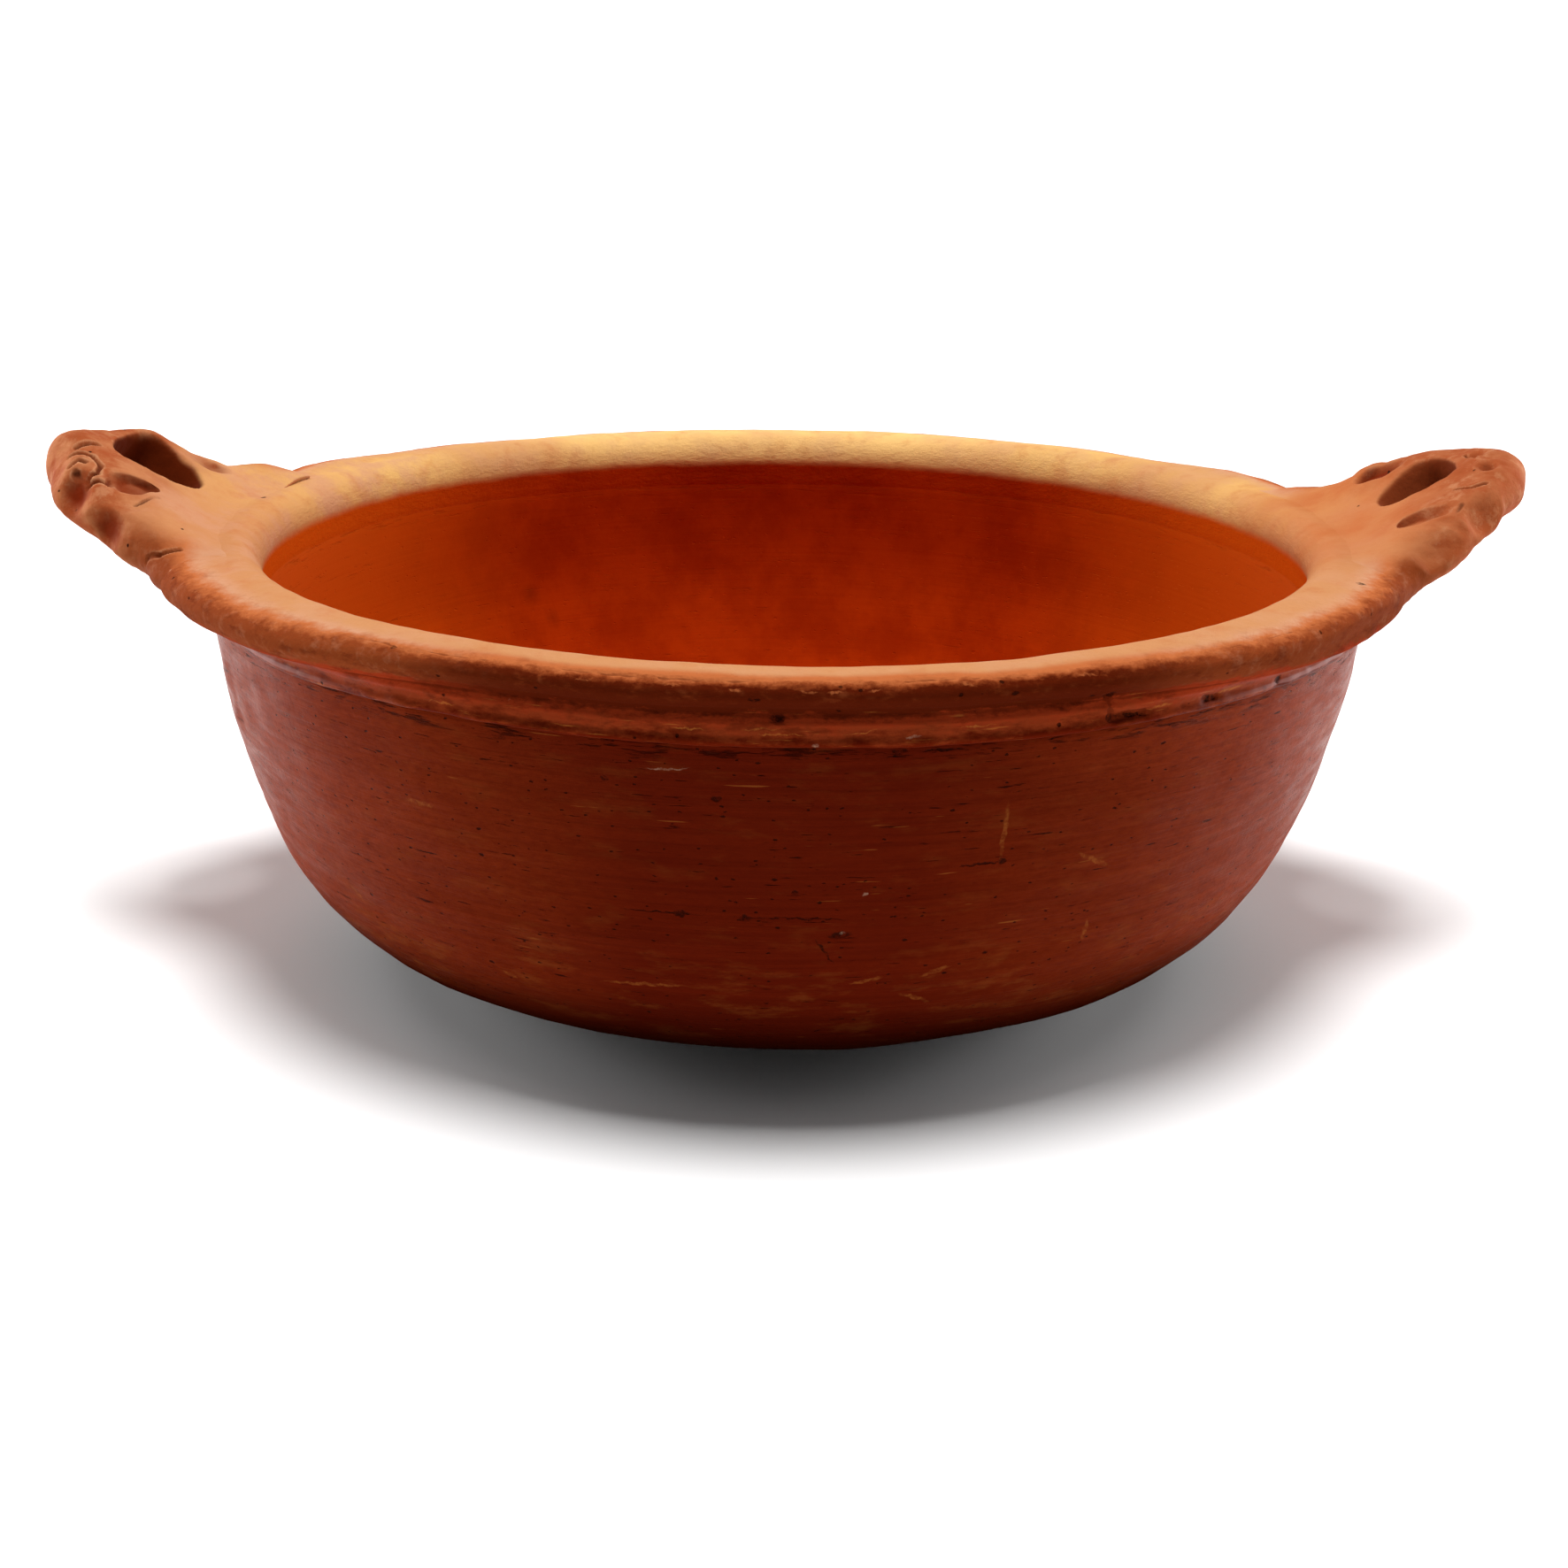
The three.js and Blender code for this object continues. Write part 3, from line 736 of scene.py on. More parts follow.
def lug_material(colours, rim):
    """The rough, matte clay of the lugs, running into the rim's smoothed top."""
    skin = Skin("lug_clay", colours)
    patches = skin.rise(skin.cloud(9, 6, roughness=0.65, seed=21), 0.4, 0.64)
    shade = skin.mix(patches * skin.rise(skin.x, 0, 10, 1.0, 0.45), "lug_dark", "lug")
    out = skin.radius() + skin.cloud(12, 4, seed=22) * 14
    outer = skin.rise(out, 142, 158) | skin.steep(0.8, 0.45)
    shade = skin.mix(outer, flange_shade(skin), shade)
    mottle = skin.rise(skin.cloud(5, 6, roughness=0.7, seed=45), 0.5, 0.68, 0.0, 0.5)
    shade = skin.mix(mottle * outer, shade, "worn")
    from_nose = (skin.radius() - (rim.lip_radius - rim.nose_radius) / MM, skin.z - rim.nose_height / MM)
    run = skin.math("ARCTAN2", *from_nose) * (rim.nose_radius / MM)
    over = skin.rise(run + edge_of_roll(skin), -7, -1.5)
    root = skin.mix(over, flange_shade(skin), roll_shade(skin, run))
    shade = skin.mix(skin.rise(abs(skin.y), 31, 42), shade, root)
    # Painted light: raised edges are painted lighter as a highlight, and hollows darker as shade.
    worn = skin.kept("worn")
    shade = skin.mix(skin.rise(worn, 0.15, 1.2, 0.0, 0.7), shade, "worn")
    shade = skin.mix(skin.rise(worn, -0.2, -1.2, 0.0, 0.6), shade, "press")
    # Painted shade at the bottom of the finger presses.
    shade = skin.mix(skin.kept("press") * 0.95, shade, "press")
    # Painted shade inside the finger holes, a little lighter on the right lug.
    bore = skin.mix(skin.rise(skin.x, 0, 10, 0.0, 0.4), "bore", "lug_dark")
    shade = skin.mix(skin.kept("bore"), shade, bore)
    shade = skin.mix(skin.specks(5, 0.16, radius=0.12), shade, "soot")
    shade = skin.mix(skin.kept("pit"), shade, "soot")
    grit = skin.cloud(0.9, 4, roughness=0.65, seed=23)
    rough = skin.cloud(4.5, 5, roughness=0.65, seed=24)
    return skin.finish(shade, 0.85, grit * 0.35 + rough * 0.65, 0.5, 0.12)


# The bowl

def wall_curves(sizes):
    """The outside of the wall, its slopes, and the inside at the wall's thickness from it."""
    foot = (sizes.foot_radius, 0.0)
    turn = (sizes.turn_radius, sizes.turn_height)
    belly = (sizes.seam_radius - sizes.belly_inset, sizes.belly_height)
    outside = np.array(cubic(foot, turn, belly, (sizes.seam_radius, sizes.seam_height), sizes.steps))
    slopes = np.gradient(outside, axis=0)
    slopes /= np.linalg.norm(slopes, axis=1)[:, None]
    return outside, slopes, outside + sizes.wall * np.column_stack([-slopes[:, 1], slopes[:, 0]])


def neck_curve(sizes, rim):
    """The inside from where it leaves the wall's curve to the narrowest part of the mouth."""
    _, slopes, inner = wall_curves(sizes)
    last = int(np.argmax(inner[:, 1] > sizes.neck_start))
    start, slope = inner[last], slopes[last]
    mouth = (rim.mouth_radius, rim.mouth_height)
    below_mouth = (mouth[0] + 0.5 * MM, mouth[1] - 9 * MM)
    return last, cubic(tuple(start), tuple(start + 12 * MM * slope), below_mouth, mouth, 34)


def bowl_profile(sizes, rim):
    """The bowl's section, from the middle of the floor up the inside and down the outside to the foot."""
    outside, slopes, inner = wall_curves(sizes)
    first = round(sizes.floor_blend * sizes.steps)
    start, slope = inner[first], slopes[first]
    pull = (start[0] - (start[1] - sizes.floor) * slope[0] / slope[1], sizes.floor)
    floor = bend((0.0, sizes.floor), pull, tuple(start), 24)
    last, neck = neck_curve(sizes, rim)
    edge = sizes.seam_height + sizes.tongue
    below = [tuple(p) for p in inner[first + 1 : last : 2]]
    neck = [(r, z) for r, z in neck if z < edge - MM]
    above = [(r + JOINT_GAP * float(smooth(z, edge - 5 * MM, edge - MM)), z) for r, z in neck]
    top = [(above[-1][0] + 2 * MM, edge), (sizes.seam_radius - 0.2 * sizes.wall, edge)]
    foot_in = [(sizes.foot_radius * share_in, 0.0) for share_in in (0.8, 0.5, 0.25, 0.0)]
    return floor + below + above + top + [tuple(p) for p in outside[::-1]] + foot_in


def sculpt_bowl(made, sizes):
    """Turning rings, soft lumps and pits on the bowl, and the marks that its material reads."""
    places, normals = shape_of(made)
    radius = np.hypot(places[:, 0], places[:, 1])
    facing = (places[:, 0] * normals[:, 0] + places[:, 1] * normals[:, 1]) / np.maximum(radius, MM)
    inside = ((facing < 0) | (normals[:, 2] > 0.5)) & (places[:, 2] > 3 * MM)
    outer = (~inside) & (places[:, 2] > 1 * MM)
    for degrees, level, size, out in WALL_BUMPS:
        bump = blob(places, on_wall(sizes, degrees, level), (size * MM, size * MM), 0.1) * outer * out * MM
        places = places + normals * bump[:, None]
    rings = lumps(places, 90 * MM, 1, flat=0.045) * sizes.ring_depth
    soft = lumps(places, 26 * MM, 2, flat=0.6) * sizes.lump_height
    small = lumps(places, 8 * MM, 3, flat=0.5) * sizes.lump_height * 0.28
    height = np.where(outer, rings + soft + small, inner_relief(places, sizes))
    height *= smooth(places[:, 2], 1 * MM, 10 * MM)
    for degrees, level, wide, high, depth in WALL_HOLLOWS:
        hollow = blob(places, on_wall(sizes, degrees, level), (wide * MM, high * MM), 0.0)
        height -= hollow * outer * depth * MM
    moved = hand_drift(places + normals * height[:, None])
    moved[:, 2] = np.where(places[:, 2] < 0.1 * MM, places[:, 2], moved[:, 2])
    pit = np.zeros(len(places))
    for centre, size in INSIDE_SPOTS:
        pit = np.maximum(pit, blob(places, polar(*centre), (size * MM, size * MM), 0.0) * 0.3)
    reshape(made, moved)
    store(made, "inside", inside)
    store(made, "pit", pit)


# Bumps by degrees, height, size and relief; hollows by degrees, height, half width, half height and depth
WALL_BUMPS = [(-157, 75, 6, 0.7), (-156, 66, 4.5, 0.6), (-152, 70, 7, 0.3), (-146, 79, 6, 0.35)]
WALL_HOLLOWS = [(-98.4, 50.6, 2.4, 1.8, 0.3), (-92.8, 50.2, 2.4, 1.8, 0.3), (-84.6, 46.5, 3.4, 2.2, 0.4)]
INSIDE_SPOTS = [((127, 117, 58), 4.0), ((124, 115.6, 51), 3.0)]


def on_wall(sizes, degrees, height):
    """A place on the outside of the wall, at an angle and a height in millimetres."""
    curve = wall_curves(sizes)[0]
    return polar(degrees, float(np.interp(height * MM, curve[:, 1], curve[:, 0])) / MM, height)


# The rim

def rim_profile(sizes, bowl):
    """The rim's closed section, and the distances of its marks from the crest."""
    nose = (sizes.lip_radius - sizes.nose_radius, sizes.nose_height)
    low = bowl.seam_height - 4 * MM
    _, neck = neck_curve(bowl, sizes)
    neck = [(r + JOINT_GAP * (1 - float(smooth(z, low, low + 4 * MM))), z) for r, z in neck if z > low]
    crest = (sizes.crest_radius, sizes.crest_height)
    rounding = (sizes.crest_radius - sizes.mouth_radius, sizes.crest_height - sizes.mouth_height)
    mouth = arc((sizes.crest_radius, sizes.mouth_height), rounding, math.pi, math.pi / 2, 20)
    nose_top = (nose[0], nose[1] + sizes.nose_radius)
    flange = bend(crest, ((crest[0] + nose_top[0]) / 2, crest[1]), nose_top, 16)
    roll = arc(nose, (sizes.nose_radius, sizes.nose_radius), math.pi / 2, -math.pi / 2, 26)
    ridge = (sizes.ridge_radius, sizes.ridge_height)
    hollow = (sizes.ridge_radius - sizes.collar_depth, sizes.nose_height - sizes.nose_radius)
    collar = bend(roll[-1], hollow, ridge, 12)
    under = (bowl.seam_radius - 0.5 * MM, bowl.seam_height - 0.6 * MM)
    back = (bowl.seam_radius - bowl.wall + 2.5 * MM, low)
    profile = neck + mouth[1:]
    zero = len(profile) - 1
    ends = {}
    for name, stretch in (("nose_top", flange), ("nose_low", roll), ("ridge", collar)):
        profile += stretch[1:]
        ends[name] = len(profile) - 1
    profile += bend(ridge, (ridge[0], under[1]), under, 4)[1:] + [back]
    run = distances(profile)
    marks = {name: run[place] - run[zero] for name, place in ends.items()}
    return profile, zero, marks


# How far the front of the lip is drawn in and up, by the distance from the top of its roll
FRONT_RUN = (-9, -5, -2.5, 0, 1.6, 3.2, 5, 6.4, 8.6, 10.7, 12.9, 15, 17, 18.6, 22)
FRONT_OUT = (0, -1.2, -2.4, -3.5, -4.0, -4.4, -4.9, -5.3, -5.8, -5.7, -4.3, -1.2, 0.5, 0.9, 0)
FRONT_UP = (0, 0.1, 0.3, 0.5, 0.6, 0.8, 1.4, 1.8, 2.5, 2.9, 2.3, 0.8, -0.2, -0.7, 0)

# Where the roll strays from true: its middle and width in degrees, and how far it goes out and up
ROLL_SHIFTS = [(-145, 8, -0.6, 0.5), (-158.5, 3.5, 0.9, -0.4), (-32, 9, -1.9, 0.8), (-44, 10, -0.2, 0.4)]


def sculpt_rim(made, sizes, bowl, marks):
    """Shapes the lip: drawn in and flaked at the front, full at the sides, thinner beside the lugs."""
    places, normals = shape_of(made)
    along = stored(made, "along")
    run = (along - marks["nose_top"]) / MM
    turn = np.degrees(np.arctan2(places[:, 1], places[:, 0]))
    front = 1 - smooth(np.abs(turn + 90), 18, 62)
    out = front * np.interp(run, FRONT_RUN, FRONT_OUT)
    up = front * np.interp(run, FRONT_RUN, FRONT_UP)
    below = bell(run - 8, 4)
    for middle, wide, outward, upward in ROLL_SHIFTS:
        near = bell(turn - middle, wide) * below
        out += near * outward
        up += near * upward
    shoulder = bell(np.abs(turn - 90) - 62, 9) * smooth(run, -9, -3) * (1 - smooth(run, 3, 10))
    out += shoulder * 0.8
    up += shoulder * 1.3
    radius = np.hypot(places[:, 0], places[:, 1])
    places[:, :2] *= (1 + out * MM / radius)[:, None]
    places[:, 2] += up * MM
    reshape(made, places)
    places, normals = shape_of(made)

    soft = lumps(places, 24 * MM, 4, flat=0.5) * sizes.lump_height
    fine = lumps(places, 6 * MM, 5, flat=0.6) * sizes.lump_height * 0.45
    rough = smooth(run, -4, 1) * (1 - smooth(run, 5, 8)) * (0.25 + 0.75 * front)
    ragged = run + lumps(places, 9 * MM, 6) * 1.5 + lumps(places, 3.2 * MM, 7) * 0.9
    flake = smooth(ragged, -0.5, 0.3) * (1 - smooth(ragged, 1, 6))
    broken = smooth(lumps(places, 22 * MM, 8), -0.35, 0.2) * (0.2 + 0.95 * front)
    crumbs = (lumps(places, 2.6 * MM, 9) + 0.6 * lumps(places, 1.4 * MM, 10)) * 0.16 * MM * rough
    ridge = bell(run - (marks["ridge"] - marks["nose_top"]) / MM, 1.1)
    torn = (lumps(places, 7 * MM, 11) + 0.7 * lumps(places, 3 * MM, 12, flat=0.5)) * 0.5 * MM * ridge
    outer = soft * (1 - 0.5 * rough) + fine + crumbs + torn - flake * broken * sizes.chip_depth
    inward = 1 - smooth(along, -9 * MM, -2 * MM)
    height = outer * (1 - inward) + inner_relief(places, bowl) * inward
    for centre, size, depth in RIM_PITS:
        height -= blob(places, polar(*centre), (size[0] * MM, size[1] * MM), 0.2) * depth * MM
    for path, width, depth in RIM_CRACKS:
        height -= trail(places, path, width * MM) * depth * MM
    reshape(made, hand_drift(places + normals * height[:, None]))
    store(made, "front", front)
    # How far each corner stands proud, which the material turns into painted highlight and painted shade.
    store(made, "worn", bulge(made, 5, 0.12 * MM))


# Pits by place, half width, half height and depth; cracks by path, width and depth; in millimetres

RIM_PITS = [
    ((-90.2, 131.5, 91.3), (1.9, 1.1), 0.6),
    ((-63.3, 132.1, 92.3), (1.8, 1.4), 0.7),
    ((-43.3, 131.8, 88.0), (1.8, 1.3), 0.5),
]

RIM_CRACKS = [
    (((-63.2, 131.8, 90), (-62.6, 131.6, 88.2), (-59.4, 131.6, 87.6)), 1.5, 0.6),
    (((-53.0, 131.5, 88), (-51.4, 131.6, 87.6)), 1.4, 0.5),
]

# Marks on the skin by place, half sizes out, round and up, in millimetres, and lean in degrees

WALL_PITS = [
    ((-98.4, 123.7, 50.6), (5, 1.1, 0.8), 0),
    ((-92.8, 123.4, 50.2), (5, 1.1, 0.7), 0),
    ((-84.6, 122.3, 46.5), (5, 2.2, 0.9), 8),
    ((-100.0, 123.7, 50.5), (5, 7.0, 0.2), 1),
    ((-88.0, 123.5, 50.3), (5, 8.0, 0.2), -1),
    ((-85.8, 121.0, 42.5), (5, 3.4, 0.25), -58),
    ((-104.3, 129.0, 77.5), (5, 0.7, 0.5), 0),
    ((-95.0, 128.4, 75.0), (5, 0.9, 0.6), 20),
    ((-88.6, 125.2, 55.8), (5, 0.6, 0.5), 0),
    ((-70.8, 125.8, 60.4), (5, 0.7, 0.7), 0),
    ((-72.8, 125.8, 60.3), (5, 4.2, 0.22), 3),
    ((-80.6, 129.5, 84.3), (4, 1.6, 0.5), 0),
    ((-77.0, 129.5, 84.2), (4, 4.2, 0.3), 0),
]

WALL_SCRATCHES = [
    ((-102.7, 117.0, 32.6), (6, 8.0, 0.45), 4),
    ((-81.8, 118.3, 35.2), (6, 2.8, 0.5), 15),
    ((-75.4, 119.0, 36.6), (6, 2.7, 0.5), 18),
    ((-76.9, 116.0, 30.0), (6, 3.4, 0.5), -24),
    ((-71.0, 127.0, 66.5), (6, 0.55, 5.6), 0),
    ((-61.5, 125.1, 57.6), (6, 4.4, 0.5), -28),
    ((-60.5, 120.6, 41.4), (6, 0.5, 2.4), 0),
    ((-122.5, 126.5, 66.0), (6, 3.4, 0.6), 0),
    ((-136.0, 119.3, 38.0), (6, 2.2, 0.5), -48),
    ((-117.0, 115.6, 29.3), (6, 1.6, 0.5), -20),
]

WALL_SPECKS = [
    ((-99.0, 129.0, 80.4), (4, 3.4, 0.2), 4),
    ((-82.6, 125.0, 55.5), (4, 0.5, 0.4), 0),
    ((-84.4, 122.3, 46.9), (4, 0.5, 0.3), 0),
]

RIM_MARKS = [
    ((-90.2, 131.5, 91.3), (4, 1.3, 0.6), 0),
    ((-63.3, 132.1, 92.3), (4, 1.2, 0.9), 0),
    ((-63.0, 131.6, 87.9), (4, 1.0, 0.8), 0),
    ((-61.0, 131.6, 87.8), (4, 3.6, 0.4), -6),
    ((-52.2, 131.5, 87.8), (4, 1.6, 0.7), 0),
    ((-43.3, 131.8, 88.0), (4, 1.2, 0.8), 0),
    ((-92.0, 134.2, 95.3), (3, 1.1, 0.4), 0),
    ((-24.7, 131.7, 98.8), (1.0, 1.0, 4), 0),
    ((171.9, 125.7, 99.2), (0.9, 0.9, 4), 0),
]

RIM_SPECKS = [
    ((-87.3, 132.0, 86.4), (3, 0.6, 0.5), 0),
    ((-79.8, 132.0, 87.6), (3, 1.4, 0.25), 0),
]

RIM_SCRATCHES = [
    ((-91.4, 132.1, 89.3), (3, 3.4, 0.18), 2),
    ((-89.9, 132.0, 88.3), (3, 4.2, 0.18), 0),
    ((-97.0, 132.1, 89.0), (3, 3.0, 0.16), -2),
    ((-84.0, 132.0, 88.6), (3, 2.6, 0.16), 3),
    ((-74.5, 132.1, 88.9), (3, 3.4, 0.18), 2),
    ((-58.0, 132.0, 88.6), (3, 3.0, 0.3), 3),
    ((-50.0, 132.0, 89.0), (3, 3.4, 0.4), 3),
    ((-118.0, 132.0, 88.6), (3, 3.0, 0.2), -2),
]

RIM_FLAKES = [
    ((-87.9, 134.3, 96.9), (3, 1.6, 0.22), -6),
    ((-86.0, 134.3, 96.6), (3, 1.4, 0.22), 8),
    ((-83.0, 134.3, 96.8), (3, 1.2, 0.2), 5),
    ((-93.4, 134.3, 96.8), (3, 1.2, 0.2), 0),
    ((-98.3, 134.3, 97.3), (3, 1.8, 0.2), 4),
    ((-105.0, 134.3, 97.2), (3, 1.6, 0.22), 5),
    ((-75.9, 134.3, 97.3), (3, 1.8, 0.26), -12),
    ((-66.0, 134.3, 97.4), (3, 1.8, 0.26), -8),
]


# The lugs

def lug_share(sizes, turn):
    """How far the lug stands out at an angle from its middle: 1 in the middle and 0 at its ends."""
    half = sizes.far_angle if turn > 0 else sizes.near_angle
    return math.cos(math.pi / 2 * min(1.0, abs(turn) / half)) ** (2 * sizes.fullness)


def lerp(a, b, t):
    """The number, or the place, that lies at a share of the way from a to b."""
    if isinstance(a, tuple):
        return tuple(lerp(p, q, t) for p, q in zip(a, b))
    return a + (b - a) * t


def lug_section(sizes, rim, turn):
    """The lug's section at an angle from its middle: a closed ring that starts and ends inside the rim."""
    out = lug_share(sizes, turn)
    slope = sizes.top_slope * out
    nose = (rim.lip_radius - rim.nose_radius, rim.nose_height)
    radius = lerp(sizes.root_radius, sizes.tip_radius, math.sqrt(out))
    centre = lerp(nose, (sizes.reach - sizes.tip_radius, sizes.top - sizes.tip_radius), out)
    tip = arc(centre, (radius, radius), math.pi / 2 + slope, sizes.under_slope - math.pi / 2, 22)
    start = (rim.crest_radius + 0.5 * MM, rim.crest_height - 0.12 * MM)
    span = tip[0][0] - start[0]
    pull_in = (start[0] + span * sizes.sag, start[1])
    pull_out = (tip[0][0] - span * sizes.hump, tip[0][1] - span * sizes.hump * math.tan(slope))
    top = cubic(start, pull_in, pull_out, tip[0], 26)
    under = (nose[0], nose[1] - 0.7 * rim.nose_radius)
    core = (rim.crest_radius + rim.nose_radius, nose[1])
    return top[:-1] + tip + [lerp(tip[-1], under, 0.33), lerp(tip[-1], under, 0.66), under, core]


def lug_blank(sizes, rim):
    """The lug before it is pierced, joined from sections that fan about the bowl's axis."""
    bm = bmesh.new()
    rings = []
    sections = 72
    for i in range(sections + 1):
        turn = lerp(-sizes.near_angle, sizes.far_angle, i / sections)
        section = lug_section(sizes, rim, turn)
        corners = [bm.verts.new((r * math.cos(turn), r * math.sin(turn), z)) for r, z in section]
        rings.append([bm.edges.new(pair) for pair in zip(corners, corners[1:] + corners[:1])])
    for near, far in zip(rings, rings[1:]):
        bmesh.ops.bridge_loops(bm, edges=near + far)
    for ring in (rings[0], rings[-1]):
        bmesh.ops.contextual_create(bm, geom=ring)
    bmesh.ops.triangulate(bm, faces=[f for f in bm.faces if len(f.verts) > 4])
    bmesh.ops.recalc_face_normals(bm, faces=bm.faces)
    return bm


def hole_place(sizes, rim):
    """The middle of the finger hole's mouth, on a lug that points along +X."""
    return Vector((rim.lip_radius + sizes.hole_offset, sizes.hole_shift, sizes.top - sizes.hole_drop))


def hole_depth(places, sizes, rim, side):
    """1 in the finger hole and 0 outside its mouth."""
    local = places * (side, 1, 1) - np.array(hole_place(sizes, rim))
    lean = math.sin(sizes.hole_tilt), math.cos(sizes.hole_tilt)
    half = sizes.hole_width / 2
    across = (local[:, 0] * lean[1] + local[:, 2] * lean[0]) * sizes.hole_width / sizes.hole_length
    egg = 1 + sizes.hole_egg * np.clip(across / half, -1, 1)
    power = sizes.hole_squareness
    reach = (np.abs(across) ** power + np.abs(local[:, 1] / egg) ** power) ** (1 / power) / half
    return 1 - smooth(reach, 0.97, 1.05)


def hole_cutter(sizes, rim):
    """The finger's shape: a tapered oval with a rounded mouth, leaning towards the bowl."""
    half = sizes.hole_width / 2
    neck = half * sizes.hole_taper
    lip = sizes.hole_lip
    deep = 26 * MM
    mouth = bend(((neck + 3 * half) / 4, -2 * lip), (half, 0.0), (half + lip, lip), 6)
    profile = [(0.0, -deep), (neck, -deep)] + mouth + [(half + 3 * lip, deep / 2), (0.0, deep / 2)]
    bm = spun(profile, 64)
    power = sizes.hole_squareness
    for v in bm.verts:
        level = (abs(v.co.x) ** power + abs(v.co.y) ** power) ** (1 / power)
        v.co.xy *= v.co.xy.length / max(level, 0.01 * MM)
        v.co.y *= 1 + sizes.hole_egg * max(-1.0, min(1.0, v.co.x / half))
    bmesh.ops.scale(bm, vec=(sizes.hole_length / sizes.hole_width, 1, 1), verts=bm.verts)
    bmesh.ops.rotate(bm, cent=(0, 0, 0), matrix=Matrix.Rotation(-sizes.hole_tilt, 3, "Y"), verts=bm.verts)
    bmesh.ops.translate(bm, vec=hole_place(sizes, rim), verts=bm.verts)
    return piece("finger_hole_cutter", bm)


def pierced_lug(name, sizes, rim, side):
    """The lug with its finger hole, re-skinned finely so that its edges can be softened."""
    made = piece(name, lug_blank(sizes, rim))
    cutter = hole_cutter(sizes, rim)
    cut = made.modifiers.new("finger_hole", "BOOLEAN")
    cut.operation = "DIFFERENCE"
    cut.solver = "EXACT"
    cut.object = cutter
    skin = made.modifiers.new("skin", "REMESH")
    skin.mode = "VOXEL"
    skin.voxel_size = sizes.grain
    skin.use_smooth_shade = True
    apply_modifiers(made)
    bpy.data.objects.remove(cutter)
    bm = bmesh.new()
    bm.from_mesh(made.data)
    every_way = {"use_axis_x": True, "use_axis_y": True, "use_axis_z": True}
    for _ in range(6):
        bmesh.ops.smooth_vert(bm, verts=bm.verts, factor=0.5, **every_way)
    if side < 0:
        bmesh.ops.scale(bm, vec=(-1, 1, 1), verts=bm.verts)
        bmesh.ops.reverse_faces(bm, faces=bm.faces)
    bm.to_mesh(made.data)
    bm.free()
    made.data.shade_smooth()
    return made


# Presses as deep as this have a flat bottom
DEEP_PRESS = 2.9 * MM


def press(places, normals, wobble, centre, size, depth, aim, edge):
    """How far a fingertip pressed at centre moves each corner, with a rim of pushed-up clay round it."""
    aim = np.array(aim) / np.linalg.norm(aim)
    offset = places - centre
    deep = offset @ aim
    flat = offset - np.outer(deep, aim)
    turn = math.atan2(centre[1], centre[0])
    across = flat @ np.array([-math.sin(turn), math.cos(turn), 0])
    rest = np.sqrt(np.maximum(np.einsum("ij,ij->i", flat, flat) - across * across, 0))
    distance = np.hypot(across / size[0], rest / size[1]) * (1 + 0.45 * wobble)
    near = (1 - smooth(np.abs(deep), 1.2 * max(size), 2 * max(size))) * smooth(-(normals @ aim), -0.1, 0.25)
    bottom = 0.55 if depth > DEEP_PRESS else 0.2
    hollow = (1 - smooth(distance, bottom, 1.0)) * near
    rim = bell(distance - 1.3, 0.34) * near * (0.6 + wobble)
    return (hollow * depth - rim * edge)[:, None] * aim, hollow


def sculpt_lug(made, sizes, rim, side, marks):
    """Pulls, finger presses, scored lines, lumps and grain on a lug, fading out towards the rim."""
    places, normals = shape_of(made)
    for centre, reach, shift in marks["pulls"]:
        distance = np.linalg.norm(places - polar(*centre), axis=1)
        places += np.outer(1 - smooth(distance, 0, reach * MM), np.array(shift) * MM)
    reshape(made, places)
    places, normals = shape_of(made)
    shade = np.zeros(len(places))
    wobble = lumps(places, 7 * MM, 37)
    for centre, size, depth, aim, edge, dark in marks["presses"]:
        size = (size[0] * MM, size[1] * MM)
        shift, hollow = press(places, normals, wobble, polar(*centre), size, depth * MM, aim, edge * MM)
        places += shift
        # Painted shade: each press's hollow, scaled by its darkness, darkens the clay there.
        shade = np.maximum(shade, np.minimum(hollow * dark, 1))
    reshape(made, places)
    places, normals = shape_of(made)
    radius = np.hypot(places[:, 0], places[:, 1])
    free = smooth(radius, rim.crest_radius + 5 * MM, rim.lip_radius + 5 * MM)
    pit = np.zeros(len(places))
    height = np.zeros(len(places))
    for path, width, depth in marks["lines"]:
        score = trail(places, path, width * MM)
        height -= score * depth * MM
        pit = np.maximum(pit, score * 0.5)
    seed = 31 if side > 0 else 51
    soft = lumps(places, 12 * MM, seed) * sizes.lump_height
    small = lumps(places, 4.5 * MM, seed + 1) * sizes.lump_height * 0.5
    grit = lumps(places, 1.9 * MM, seed + 2) * sizes.lump_height * 0.2
    height += (soft + small + grit) * free
    reshape(made, hand_drift(places + normals * height[:, None]))
    # The painted shade of the finger presses, for the material to read.
    store(made, "press", shade)
    store(made, "pit", pit)
    # Where the painted shade inside the finger hole goes.
    store(made, "bore", hole_depth(places, sizes, rim, side))
    # How far each corner stands proud, which the material turns into painted highlight and painted shade.
    store(made, "worn", bulge(made, 8, 0.25 * MM))


# Pulls by place, reach and shift; presses by place, half sizes, depth, aim, height of their edge and
# darkness of their painted shade; scored lines by path, width and depth; all in millimetres

